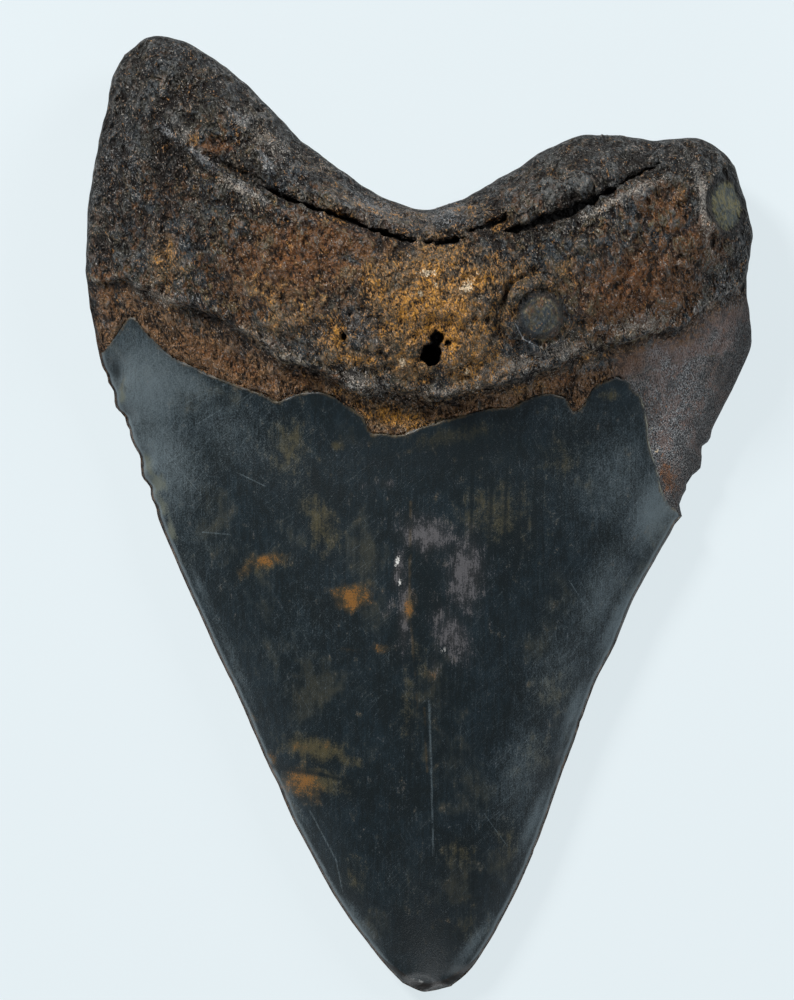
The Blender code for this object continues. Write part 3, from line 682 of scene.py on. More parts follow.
# %% Back of the tooth
BACK_STEP = 0.67
back_x, back_y, back_gap = x[::2, ::2], y[::2, ::2], rim_gap[::2, ::2]
back_enamel = back_enamel_gap(back_x, back_y)
flat_back = np.stack([back_x, back_y, back_x * 0.0], axis=-1)
back_hollows = 0.16 * cloud(flat_back, (6.0, 7.0, 6.0), 71) + 0.08 * cloud(flat_back, (2.2, 3.6, 2.4), 72)
back_rough = (1.0 - smooth_step(-0.2, 0.3, back_enamel)) * (1.0 - bell(back_gap, 0.0, 1.2))
back_z = back[::2, ::2] + back_rough * (BACK_STEP + back_hollows)
back_points = np.stack([back_x, back_y, np.maximum(back_z, 0.0)], axis=-1)
back_points[..., :2] += (inward * push[..., None])[::2, ::2]
back_points[[0, -1]] = front_points[::2, ::2][[0, -1]]
back_points[:, [0, -1]] = front_points[::2, ::2][:, [0, -1]]
print("lowest point of the back, mm:", round(float(back_points[..., 2].min()), 3))

# %% [markdown]
# Both sheets share the points of the rim, so the tooth is one closed surface. They could be left
# as two sheets laid edge to edge, but a closed one can be printed, weighed and baked. Where the
# coarse back meets the fine front, its border faces take in the extra points as corners.

# %% One closed mesh
def numbered(front_shape, back_shape):
    """Point numbers of both sheets: the back borrows every second rim point of the front."""
    front_ids = np.arange(front_shape[0] * front_shape[1]).reshape(front_shape)
    back_ids = front_ids[::2, ::2].copy()
    inner = (back_shape[0] - 2, back_shape[1] - 2)
    back_ids[1:-1, 1:-1] = front_ids.size + np.arange(inner[0] * inner[1]).reshape(inner)
    return front_ids, back_ids


def quads(ids):
    """Four corners of every cell of the front sheet, anticlockwise as seen from above."""
    return np.stack([ids[:-1, :-1], ids[:-1, 1:], ids[1:, 1:], ids[1:, :-1]], axis=-1).reshape(-1, 4)


def cells_with_rim(back_ids, front_ids):
    """Corners of the back's cells, clockwise from above, with the middle points of rim sides or -1."""
    rows, columns = back_ids.shape[0] - 1, back_ids.shape[1] - 1
    cells = np.full((rows, columns, 8), -1)
    cells[..., 0], cells[..., 2] = back_ids[:-1, :-1], back_ids[1:, :-1]
    cells[..., 4], cells[..., 6] = back_ids[1:, 1:], back_ids[:-1, 1:]
    cells[:, 0, 1], cells[-1, :, 3] = front_ids[1::2, 0], front_ids[-1, 1::2]
    cells[:, -1, 5], cells[0, :, 7] = front_ids[1::2, -1], front_ids[0, 1::2]
    return cells.reshape(-1, 8)


front_ids, back_ids = numbered(front_points.shape[:2], back_points.shape[:2])
cells = cells_with_rim(back_ids, front_ids)
front_quads = quads(front_ids)
corners = np.concatenate([front_quads.ravel(), cells[cells >= 0]])
sizes = np.concatenate([np.full(len(front_quads), 4), (cells >= 0).sum(axis=1)])
positions = np.vstack([front_points.reshape(-1, 3), back_points[1:-1, 1:-1].reshape(-1, 3)]) * MM
mesh = bpy.data.meshes.new(NODE)
mesh.vertices.add(len(positions))
mesh.vertices.foreach_set("co", positions.ravel())
mesh.loops.add(len(corners))
mesh.loops.foreach_set("vertex_index", corners)
mesh.polygons.add(len(sizes))
mesh.polygons.foreach_set("loop_start", np.concatenate([[0], np.cumsum(sizes)[:-1]]))
mesh.update(calc_edges=True)
mesh.validate()
mesh.polygons.foreach_set("use_smooth", np.ones(len(sizes), bool))
tooth = bpy.data.objects.new("fossil_tooth", mesh)
bpy.context.scene.collection.objects.link(tooth)
print("triangles:", int((sizes - 2).sum()), " points:", len(positions))

# %% [markdown]
# Stains follow no line of the shape. They could be painted on an image, but that has a fixed
# number of pixels, while a soft ellipse has none and is moved by one number. Every stroke has a
# place, two radii, a turn in degrees and a strength, and the shader breaks its smooth edge up
# with noise. The root comes first: iron gives rust and ochre, manganese soot, and lime the cream
# flecks. Some of the soot strokes are painted shade, under the ledge and in the folds of the left
# lobe. The ash strokes are pale grey on raised parts, partly crust and partly painted highlight,
# and the dust strokes are painted highlights along the top of the ledge and on ridges.

# %% Stains of the root
ROOT_STAINS = {
    "ochre": [
        (1.5, 28.5, 9.5, 10, 0, 1), (-20, 31, 7, 4, 10, 0.42), (20, 34, 6, 3, 20, 0.35),
        (6.1, 31.8, 6.5, 3, 25, 1), (1.3, 33.2, 3.6, 3.2, 0, 1), (4.5, 24.3, 4.4, 5, 0, 0.95),
        (8, 22.5, 4, 3, 0, 0.8), (-5, 31, 5, 6, 0, 0.75), (-2.8, 21.5, 3.2, 2.6, 0, 0.9),
        (6.5, 19.8, 4.2, 2.8, 0, 0.9), (-9, 21.6, 5, 1.5, -8, 0.95), (-12, 24.5, 3.5, 4, 0, 0.7),
        (-16.5, 27.5, 5, 3, 0, 0.55), (-21.3, 26.3, 3.6, 2.4, 30, 0.62), (-4, 13.8, 5.6, 2.1, -6, 1.05),
        (1, 12.8, 3.5, 1, 8, 0.6), (12, 33, 4, 3.5, 20, 0.6), (-35.5, 36, 2.5, 5, 0, 0.62),
        (-31.6, 52.3, 1, 1, 0, 1), (-11, 41.2, 2, 1, -20, 0.75), (10.5, 40.3, 1.8, 1.2, 20, 0.7),
        (22, 25.5, 3, 2, 0, 0.45), (24.5, 22.3, 3, 0.9, 15, 0.55), (14, 17.9, 5, 0.9, 12, 0.5),
        (42.8, 44.5, 1.3, 2.2, 0, 0.5), (-10, 17, 4, 1, -20, 0.6), (35.3, 5.4, 1.1, 2.6, 22, 1),
        (11, 20.6, 5.5, 1.8, 12, 0.6), (5, 42, 6, 1.2, 8, 0.45), (-5, 42.6, 6, 1.6, -15, 0.42),
        (-12, 46, 4, 1.2, -40, 0.35), (-42.5, 26.2, 1, 2.2, -30, 0.6),
    ],
    "rust": [
        (-16.6, 35.4, 15, 8, 12, 0.85), (30.5, 31.8, 11, 7, 20, 0.95), (-28, 21.5, 9.5, 2.7, -28, 1),
        (-16, 18.8, 6, 1.6, -12, 0.9), (29.9, 21.4, 3.2, 2.4, 0, 1), (20, 18.9, 5.5, 1.3, 15, 0.9),
        (38, 38.5, 6, 6, 0, 0.7), (-28.3, 51.3, 2.6, 1.5, 0, 0.9), (-44.5, 33, 2.2, 7, 0, 0.65),
        (-36, 42, 7, 8, 0, 0.5), (42, 20.5, 3, 7, 20, 0.5), (33.5, 43.5, 5, 4, 0, 0.75),
        (35.6, 5.4, 1.6, 2.8, 25, 1), (-41, 13.6, 1.6, 0.9, -30, 1), (10, 14.6, 8, 0.8, 9, 0.8),
        (-36, 31, 6, 3, -20, 0.45), (-14, 56, 5, 3, -40, 0.3), (14, 44.5, 5, 3, 20, 0.4),
    ],
    "blue": [
        (-7, 43.2, 8, 2.4, -28, 0.9), (4, 41.6, 6, 1.8, 8, 0.8), (-17.5, 48, 6, 2.4, -40, 0.7),
        (-25, 24.6, 3.2, 2.4, -30, 0.8), (-8, 26.5, 5, 4.5, 0, 0.8), (-15.5, 23.5, 3.5, 1.8, -20, 0.7),
        (-38, 37, 3.5, 4, 0, 0.7), (40.5, 33, 4, 4, 0, 0.6), (-31, 41, 4, 5, 0, 0.45),
        (15, 46, 5, 2, 25, 0.5), (-40, 55, 4, 8, 10, 0.5), (17, 22, 6, 2, 15, 0.6),
    ],
    "cream": [
        (0.9, 33.5, 1.7, 0.9, 15, 1), (6.3, 31.6, 1.3, 2, -35, 0.95), (0.1, 30.7, 1, 0.8, 0, 0.85),
        (-2.5, 21.4, 0.7, 1.4, 0, 1), (4.6, 20.6, 0.9, 0.6, 20, 0.9), (6.5, 20, 0.7, 0.9, 0, 0.9),
        (6.3, 18.6, 0.6, 0.5, 0, 0.8), (-10.3, 25.2, 0.35, 0.7, 0, 1), (7.2, 33, 1.6, 1, 30, 0.75),
        (-43.7, 27.1, 0.4, 0.4, 0, 0.8), (-42.3, 25.7, 0.4, 0.7, -30, 0.7), (4.6, 23.4, 1.2, 0.25, -5, 0.8),
        (-12.6, 24.8, 0.6, 0.9, 0, 0.6), (2, 31.8, 0.6, 1, 0, 0.8), (-5.8, 12.6, 0.7, 1.3, 10, 0.6),
        (-3, 12.2, 1.6, 0.5, 0, 0.6),
    ],
    # Manganese, and painted shade where strokes lie under the ledge and along the folds of the left lobe.
    "soot_and_shade": [
        (-36, 54, 9, 10, 0, 0.8), (-41, 42, 5, 8, 0, 0.5), (-23, 41.5, 5, 4, 0, 0.4),
        (26, 36.5, 7, 4, 10, 0.4), (34, 48.5, 8, 5, 0, 0.7), (45.5, 38, 1.6, 9, 0, 0.8),
        (24, 20.6, 10, 1, 17, 0.6), (-1.2, 15.2, 6, 0.9, 0, 0.7), (-27, 25, 7, 0.8, -25, 0.5),
        (-12.5, 18.6, 7, 0.6, -22, 0.5), (-35.2, 49.5, 3.2, 5, -25, 1.1), (-24.4, 48.7, 4.6, 1.1, -24, 1.1),
        (-32.8, 58.2, 2.4, 1.8, -20, 0.9), (-38.6, 57.5, 1.8, 4.5, 5, 0.8), (44.5, 20, 2, 8, 25, 0.6),
        (17, 28, 5.6, 5.2, 0, 0.35), (8, 17.3, 6, 0.7, 15, 0.6), (28, 49.5, 12, 4.5, 8, 0.8),
        (-35.5, 42, 7, 7, 0, 0.8), (-42.9, 20.4, 1.7, 2.1, 0, 0.9), (-20, 46.5, 5, 1.5, -35, 0.6),
    ],
    # Pale grey on raised parts: partly crust, partly painted highlight.
    "ash_and_highlight": [
        (43, 43.6, 1.9, 3.1, 0, 0.9), (-35, 53.4, 3.4, 0.9, -42, 1.1), (-30, 49.5, 3.6, 0.9, -37, 1.1),
        (-24.5, 45.6, 4, 0.9, -36, 1.1), (-25.2, 55.6, 3.2, 1.1, -42, 1), (-21.6, 49.6, 1.2, 3.4, 22, 1),
        (-40.5, 50, 1.5, 5, 5, 0.7), (43.5, 31, 3.5, 4.5, 0, 0.9), (31, 27.2, 6, 1.6, 15, 0.8),
        (16.1, 21.3, 6.5, 1.3, 15, 0.95), (-7.9, 18.6, 6, 1.8, -20, 0.9), (-20, 23.5, 5, 1.4, -25, 0.6),
        (-19.4, 49.9, 9, 3.5, -42, 0.5), (-6, 43, 6, 2.2, -25, 0.85), (4, 41.5, 5, 1.8, 5, 0.8),
        (-33, 30.4, 5, 1.8, -15, 0.65), (-15, 42.4, 6, 1.4, -30, 0.55), (24, 42, 6, 1.4, 28, 0.65),
        (39.4, 44.5, 1, 6, 8, 0.95), (16, 28.2, 2.4, 2.4, 0, 0.45), (-43, 50, 3, 8, 0, 0.55),
        (-32, 59.2, 4, 3, 0, 0.4), (2, 24, 3.2, 3.2, 0, 0.6), (-8.6, 26, 3.6, 3.4, 0, 0.6),
        (40, 29, 3.5, 2, 20, 0.8), (-14.5, 25.5, 2, 2.5, 0, 0.5), (20, 24, 5, 1, 15, 0.6),
    ],
    # Painted highlights along the top of the ledge and on ridges.
    "raised_highlight": [
        (12.2, 20.6, 5.5, 1.3, 14, 1), (20.5, 23.2, 4.5, 1, 14, 0.8), (-8.5, 18.8, 4, 1, -22, 0.8),
        (-20.5, 23.8, 5, 1, -30, 0.6), (3, 17.3, 5, 0.9, 8, 0.7), (31, 26.6, 5, 1, 12, 0.8),
        (-24.8, 45.3, 5, 0.9, -30, 0.8), (-32, 52.4, 4, 0.8, -45, 0.6), (27.5, 43.8, 7, 0.8, 28, 0.8),
        (39.4, 44, 0.9, 6, 8, 1), (-21.5, 52.5, 6, 2.2, -42, 0.5), (-36.5, 30.6, 3, 0.9, -20, 0.7),
    ],
}
print("strokes on the root:", sum(len(strokes) for strokes in ROOT_STAINS.values()))

# %% [markdown]
# The crown has its own set: brown clouds, a painted sheen where the enamel reflects the lamps,
# places that are scuffed or worn through, small facets where the cutting edge was chipped, a
# painted highlight on a few stretches of the enamel's border, and a few chalky specks.

# %% Stains of the crown
CROWN_STAINS = {
    "olive": [
        (-18.5, 9.8, 3.6, 6, 0, 0.62), (-14, -1, 2.6, 6, 25, 0.72), (-15, -32.9, 5, 2, -8, 1),
        (-14.5, -37.6, 5, 2.2, -10, 0.85), (-10.5, -34.4, 3, 1.2, -10, 0.7), (18.9, -24.6, 3.5, 4, 0, 0.6),
        (16.6, -34.3, 2.5, 3.5, 0, 0.6), (13.7, -36, 2, 2, 0, 0.4), (12.5, -46.6, 2.5, 4, 0, 0.55),
        (5.7, -48, 3.5, 2.8, 0, 0.6), (-9.1, -51.3, 2.5, 3, 0, 0.5), (7.3, -58.8, 3, 3, 0, 0.55),
        (-11.6, 9.8, 1.2, 0.8, 0, 0.85), (26.4, 17, 1.5, 1, -20, 0.85), (4.5, 11.2, 7, 1.6, 10, 0.72),
        (-22, -6.8, 6, 2.2, 12, 0.5), (-33.5, -6, 4, 2, -30, 0.4), (-38, 3, 1.6, 5, 10, 0.6),
        (-1.5, -27, 1.5, 8, 0, 0.45), (10.5, 0.5, 6.5, 5.5, 0, 0.62), (20, 8, 5, 5, 0, 0.4),
        (0, -20, 1.5, 4, 0, 0.5), (-1.6, -54, 3, 5, 0, 0.3),
    ],
    "orange": [
        (-9.5, -11.4, 2.4, 1.9, 8, 1), (-11.6, -10.6, 1, 0.7, 0, 0.7), (-21.8, -6.3, 2.9, 1, 10, 0.85),
        (-24.6, -7.6, 1.4, 0.8, 20, 0.6), (-1.6, -13, 0.8, 1.8, 0, 0.8), (-16.6, -32.8, 1.9, 0.9, -5, 0.5),
        (-13.3, -32.4, 1.2, 0.7, 0, 0.45), (-16.6, -38, 3, 1.9, -20, 0.95), (-14.6, -38.9, 1.6, 1, 0, 0.6),
        (-19.9, -39.4, 0.9, 3, 28, 0.9), (-5.3, -18.7, 1.4, 0.8, 0, 0.5), (-10.2, -18.8, 1.4, 0.5, 0, 0.45),
        (-20.9, -35.2, 0.8, 1.4, 28, 0.7), (-24, -28.5, 0.7, 1.6, 28, 0.5), (1.5, -23, 1, 1.5, 0, 0.3),
    ],
    # Painted sheen: reflections of the lamps on the flanks of the crown.
    "sheen": [
        (-39, 18.5, 8, 8, -25, 1), (-38, 8.5, 7, 10, 15, 0.85), (-29, 13.5, 10, 6, -25, 0.45),
        (-32.5, -3, 3.5, 8, 25, 0.25), (14.5, -36, 4, 8, -20, 0.52), (20, -22, 5, 8, -20, 0.45),
        (33.5, 1, 4, 7, -25, 1), (28, 5.5, 6, 9, -20, 0.5), (26, -11, 3.5, 9, -25, 0.65),
        (-26.6, -20.5, 0.9, 8, 23, 0.45), (-31.5, -9.5, 0.9, 6, 24, 0.5), (28.4, -14.5, 1.6, 8, -26, 0.95),
        (22, -27.5, 1.3, 6, -22, 0.85), (-34.5, 19.5, 8, 3, -28, 0.8), (22, 14, 7, 4, 0, 0.25),
        (-16, -16, 6, 8, 0, 0.15), (7.6, -61, 1.1, 5, -38, 0.8), (-9, -57.5, 1, 5, 38, 0.6),
        (16.4, -43, 1.2, 6, -22, 0.85), (-18, -41, 0.9, 6, 28, 0.4),
    ],
    "worn": [
        (1.2, -2.6, 4.6, 2.8, -14, 1.05), (6.4, -8, 3, 6.4, 0, 1.05), (4.4, -16.6, 2.6, 4.8, 25, 1),
        (-2.2, -13.5, 1.2, 6.5, 0, 0.85), (-3, -7.5, 0.9, 3.4, -8, 0.9), (-4.6, 4.5, 1.4, 0.8, 0, 0.7),
        (-7.8, 4.2, 0.9, 0.7, 0, 0.5), (2, -20.5, 1.2, 2.4, 0, 0.5), (-4.5, -13, 1.2, 2, 0, 0.5),
    ],
    "ink": [
        (-43.2, 20.6, 0.8, 1.9, 0, 1.2), (-42.2, 18.2, 1.6, 0.4, -30, 1),
        (-40.6, 11.9, 1.5, 0.35, -28, 0.9), (-39.6, 9.6, 1.4, 0.4, -25, 0.8),
        (-36.9, 5.9, 1.6, 0.4, -20, 0.9), (-36, 2.9, 1.5, 0.4, -20, 0.9), (-34.6, -0.6, 1.6, 0.4, -15, 0.8),
        (-42, 14.9, 1.2, 0.4, -35, 0.8), (6, 9.5, 15, 5.5, 5, 0.9), (-9, 11, 7, 3, -10, 0.7),
        (1.2, -9.5, 2.2, 6.5, 0, 1), (22, 12, 8, 3, 15, 0.6), (1, -60, 7, 9, 0, 0.75),
    ],
    "facet": [
        (-38.9, 7.2, 0.9, 1.9, 22, 0.8), (-37.6, 4.4, 1.5, 1.5, 10, 1), (-36.9, 1.2, 1.3, 1.6, 15, 0.9),
        (-35.4, -2.2, 0.8, 2.2, 20, 0.7), (-42.4, 16.8, 0.8, 1.4, 30, 0.7),
        (35.8, -2.6, 0.9, 2.2, -30, 0.8), (32.9, -7.6, 0.8, 2.6, -30, 0.6), (-41.6, 18.3, 1.2, 0.8, 0, 0.5),
    ],
    # Painted highlight along the enamel's border.
    "lit": [(-43.2, 26.4, 1.2, 2.2, -30, 0.7), (-38.5, 26, 2.5, 1.6, -40, 0.8), (33, 10, 2.5, 10, 12, 1)],
    "chalk": [
        (-3.2, -6.4, 0.5, 1.2, -10, 0.9), (-2.8, -9.3, 0.42, 0.6, 0, 1), (-1.7, -3.9, 0.3, 0.4, 0, 0.8),
        (-1.2, -66.3, 0.8, 0.35, 20, 1), (0.9, -66, 1.1, 0.22, 5, 0.95), (3.3, -18.9, 0.8, 0.9, 0, 0.7),
        (5, -14.5, 0.4, 0.5, 0, 0.6), (-4.4, 4.4, 0.8, 0.4, 0, 0.6), (33.6, 9.2, 0.5, 0.45, 0, 1),
        (32.9, 12.2, 0.3, 0.9, 0, 0.8), (0.2, -66.6, 0.8, 0.4, 0, 0.9), (2.9, -67.1, 1.2, 0.35, 0, 0.8),
        (34.5, 6.4, 0.4, 1, 20, 0.7), (37, -0.3, 0.6, 0.8, 0, 0.8), (21.5, 19.6, 0.25, 0.25, 0, 1),
        (33.8, 24.6, 0.25, 0.25, 0, 0.8),
    ],
}
print("strokes on the crown:", sum(len(strokes) for strokes in CROWN_STAINS.values()))

# %% [markdown]
# Strokes, distances and relief are stored on the mesh, one number per point and kind. The shader
# reads them by name, so that a colour can follow a ridge, a pore or the border of the enamel.
# The back has no strokes: its colours come from noise and from its own distances alone.

# %% Numbers stored on the mesh
RELIEF_UNIT = 0.3


def set_field(name, front_values, back_values=None):
    """Stores one number per point: the front sheet, then the inside of the back, 0 if not given."""
    back_inside = np.zeros_like(back_x) if back_values is None else back_values
    values = np.concatenate([front_values.ravel(), back_inside[1:-1, 1:-1].ravel()])
    mesh.attributes.new(name, "FLOAT", "POINT").data.foreach_set("value", values)


for name, strokes in {**ROOT_STAINS, **CROWN_STAINS}.items():
    set_field(name, painted(x, y, strokes))
moats = np.clip(-1.4 * (marks + 0.25), 0.0, 0.6)
set_field("high", ridges * bare)
set_field("low", np.maximum(hollows, 0.8 * np.clip(valley, 0.0, 1.0)) * bare)
set_field("hollow", np.clip(grooves + np.clip(pores, 0.0, 1.0) + moats, 0.0, 1.0))
set_field("scaly", scaly)
set_field("calm", calm)
set_field("oval", oval)
set_field("enamel", enamel, back_enamel)
set_field("above_ledge", above_ledge, -back_enamel)
set_field("edge", rim_gap, back_gap)
set_field("height", relief / RELIEF_UNIT, back_hollows / RELIEF_UNIT)
print("fields:", len(mesh.attributes))

# %% [markdown]
# The finish is written as arithmetic. Its hundreds of nodes could be placed and linked one by one
# in the editor, but a line such as rust * 0.9 - soot * 0.25 is shorter and easier to change. A
# Field is one value that the shader has at every point; adding or multiplying Fields adds the
# Math nodes that do it, and node() adds any other kind.

# %% A small language for shaders
class Field:
    """A value of the shader at every point: its arithmetic becomes Math nodes in the same tree."""

    def __init__(self, tree, socket=None):
        self.tree, self.socket = tree, socket

    def node(self, kind, settings=None, inputs=None, output=0):
        """Adds a node: its settings first, then each input as a number or as a link to a Field."""
        made = self.tree.nodes.new(kind)
        for name, value in (settings or {}).items():
            setattr(made, name, value)
        for name, value in (inputs or {}).items():
            if isinstance(value, Field):
                self.tree.links.new(made.inputs[name], value.socket)
            else:
                made.inputs[name].default_value = value
        return Field(self.tree, made.outputs[output] if made.outputs else None)

    def math(self, operation, *values):
        return self.node("ShaderNodeMath", {"operation": operation}, dict(enumerate(values)))

    def __add__(self, other):
        return self.math("ADD", self, other)

    def __sub__(self, other):
        return self.math("SUBTRACT", self, other)

    def __rsub__(self, other):
        return self.math("SUBTRACT", other, self)

    def __mul__(self, other):
        return self.math("MULTIPLY", self, other)

    def __truediv__(self, other):
        return self.math("DIVIDE", self, other)

    def __rtruediv__(self, other):
        return self.math("DIVIDE", other, self)

    def __abs__(self):
        return self.math("ABSOLUTE", self)

    __radd__ = __add__
    __rmul__ = __mul__


material = bpy.data.materials.new("fossil tooth")
material.use_nodes = True
material.node_tree.nodes.clear()
shader = Field(material.node_tree)
print("colour of the finish is mixed in", material.name)

# %% [markdown]
# A few words make the rest short. field() reads a stored number, rise() turns a value into a
# mask with a soft border, grain() is noise with lumps of a chosen size, and layered() lays
# colours over each other like glazes. Places come from Object coordinates, which stay with the
# tooth when it moves.

# %% Words of the finish
OBJECT_OUTPUT = 3
NOISE_SPREAD = 4.0
place = shader.node("ShaderNodeTexCoord", output=OBJECT_OUTPUT)


def field(name):
    """One of the numbers stored at the points of the mesh."""
    return shader.node("ShaderNodeAttribute", {"attribute_name": name}, output=2)


def vector(operation, *values, output=0):
    """A Vector Math node; its output 1 is the one that gives a single number."""
    return shader.node("ShaderNodeVectorMath", {"operation": operation}, dict(enumerate(values)), output)


def rise(value, low, high):
    """0 below low, 1 above high, with a smooth S between; it falls if low is above high."""
    if low > high:
        return 1.0 - rise(value, high, low)
    inputs = {"Value": value, "From Min": low, "From Max": high}
    return shader.node("ShaderNodeMapRange", {"interpolation_type": "SMOOTHSTEP"}, inputs)


def grain(size, detail=2.0, turn=0.0, bend=0.0):
    """Noise from about -1 to 1, its lumps this size in mm along axes turned in degrees."""
    turned = {"Rotation": (0.0, 0.0, math.radians(turn)), "Scale": tuple(MM * side for side in size)}
    mapped = shader.node("ShaderNodeMapping", {"vector_type": "TEXTURE"}, {"Vector": place, **turned})
    inputs = {"Vector": mapped, "Scale": 1.0, "Detail": detail, "Roughness": 0.55, "Distortion": bend}
    return (shader.node("ShaderNodeTexNoise", None, inputs) - 0.5) * NOISE_SPREAD


def tint(factor, below, above):
    """A mix of two colours by a factor; inputs 6 and 7 of the node are its two colours."""
    ends = [(*end, 1.0) if isinstance(end, tuple) else end for end in (below, above)]
    inputs = {"Factor": factor, 6: ends[0], 7: ends[1]}
    return shader.node("ShaderNodeMix", {"data_type": "RGBA"}, inputs, output=2)


def layered(colour, *layers):
    """Colours laid over the first one in turn, each as far as its own factor shows it."""
    for factor, above in layers:
        colour = tint(factor, colour, above)
    return colour


def stain(name, low, high, speckle):
    """A painted stain with its edge broken up: noise is added before the S that makes its border."""
    return rise(field(name) + speckle, low, high)


flat_mm = vector("MULTIPLY", place, (1.0 / MM, 1.0 / MM, 0.0))


def point_gap(centre):
    """Distance in mm to a point, seen from above."""
    return vector("DISTANCE", flat_mm, (*centre, 0.0), output=1)


def line_gap(start, end):
    """Distance in mm to a straight stretch: the offset less its part along it, kept in its ends."""
    run = (end[0] - start[0], end[1] - start[1], 0.0)
    offset = vector("SUBTRACT", flat_mm, (*start, 0.0))
    along = vector("DOT_PRODUCT", offset, run, output=1)
    inputs = {0: along, 1: run[0] ** 2 + run[1] ** 2}
    kept = shader.node("ShaderNodeMath", {"operation": "DIVIDE", "use_clamp": True}, inputs)
    part = shader.node("ShaderNodeVectorMath", {"operation": "SCALE"}, {0: run, "Scale": kept})
    return vector("LENGTH", vector("SUBTRACT", offset, part), output=1)


print("nodes so far:", len(material.node_tree.nodes))

# %% [markdown]
# The bare root is mineral, so its colour changes from grain to grain. Noise of seven sizes, from
# a fifth of a millimetre to nearly a centimetre, is made once and shared by all that follows.
# Where a noise passes 0 it draws thin winding lines, which serve as crests and as furrows.

# %% Grains of the root
finer = grain((0.17, 0.26, 0.20), 0)
fine = grain((0.24, 0.48, 0.36), 1, turn=12, bend=0.5)
small = grain((0.46, 0.95, 0.60), 1, turn=16, bend=0.7)
coarse = grain((1.05, 1.8, 1.3), 1.5, turn=20, bend=0.8)
blotchy = grain((1.5, 2.1, 1.8), turn=10, bend=0.8)
patchy = grain((2.6, 3.4, 2.8), bend=0.8)
broad = grain((7, 9, 6))
smoothed, in_oval, scale_height = field("calm"), field("oval"), field("scaly")
rust, ochre, edge = field("rust"), field("ochre"), field("edge")
over_ledge, to_enamel = field("above_ledge"), field("enamel")
quiet = 1.0 - smoothed * 0.8
depth = (small * 0.70 + coarse * 0.50 + fine * 0.35 + field("height") * 0.30) * quiet
crests = (rise(abs(coarse), 0.14, 0.02) * 0.5 + rise(abs(small), 0.18, 0.02) * 0.6) * quiet
furrows = (rise(abs(coarse + 0.22), 0.10, 0.02) * 0.6 + rise(abs(small + 0.28), 0.12, 0.02) * 0.6) * quiet
print("with the grains:", len(material.node_tree.nodes), "nodes")

# %% [markdown]
# The ground of the root is cool stone where it is clean and warm where iron came in. Rust,
# manganese and ochre lie over it, and the band under the ledge is browner than the rest. The
# manganese colour also serves as painted shade under the ledge, and the root is painted darker
# towards its rim as shade, where its sides turn away from the light. Stains lie over each other
# in the order in which they formed.

# %% Ground of the root
SOOT_AND_SHADE = (0.018, 0.018, 0.019)
STONE = (0.066, 0.062, 0.046)
SLATE_GREY = (0.035, 0.046, 0.055)
STEEL = (0.054, 0.075, 0.092)
RUST = (0.205, 0.088, 0.028)
DEEP_RUST = (0.225, 0.080, 0.024)
OLIVE_BROWN = (0.126, 0.102, 0.048)
BAND_BROWN = (0.250, 0.128, 0.056)
KHAKI = (0.210, 0.148, 0.084)

cool = tint(rise(blotchy + broad * 0.6, -0.15, 0.25), STONE, SLATE_GREY)
warm = tint(rise(patchy + blotchy * 0.5 - rust * 0.3, -0.25, 0.2), RUST, OLIVE_BROWN)
warmth = blotchy * -0.5 + patchy * 0.4 + coarse * 0.4 + fine * 0.25 + rust * 0.9 - field("soot_and_shade") * 0.25
on_band = rise(over_ledge + coarse * 0.3, 0.2, -0.3)
by_enamel = rise(to_enamel + coarse * 0.5, -3.2, -0.8)
# Painted shade: the root turns darker within about 9 mm of its rim above the ledge, where its sides turn
# away from the light.
lobe_rim_shade = rise(edge + patchy * 1.5, 9, 1) * rise(over_ledge, 0.5, 5)
root_colour = layered(
    tint(rise(warmth, 0.05, 0.45) * 0.9, cool, warm),
    (stain("rust", 0.45, 1.1, depth * -0.6 + patchy * 0.4 + blotchy * 0.4) * 0.8, DEEP_RUST),
    (stain("blue", 0.25, 1.0, patchy * 0.3 + coarse * 0.3 + small * 0.2) * 0.8, STEEL),
    (on_band * rise(patchy + fine * 0.5 + by_enamel * 0.7, -0.7, 0.5) * 0.85, BAND_BROWN),
    # Manganese, and painted shade under the ledge and in the folds.
    (stain("soot_and_shade", 0.2, 1.1, patchy * 0.4 + coarse * 0.3) * 0.8, SOOT_AND_SHADE),
    (lobe_rim_shade * 0.65, SOOT_AND_SHADE),
    (stain("ochre", 0.1, 0.8, patchy * 0.3 + coarse * 0.3) * 0.75, KHAKI),
)
print("ground of the root:", len(material.node_tree.nodes), "nodes")

# %% [markdown]
# Relief shows in colour too: shade is painted dark into the hollows, furrows and low scales,
# and highlights are painted pale on the crests. The grains, the scales and the painted ridges and
# hollows each darken or lighten the ground a little.

# %% Dark hollows and pale crests
SHADE_BROWN = (0.0085, 0.0055, 0.0042)
WARM_SHADE = (0.038, 0.029, 0.020)
CREST_HIGHLIGHT = (0.150, 0.157, 0.158)
OCHRE = (0.530, 0.252, 0.061)

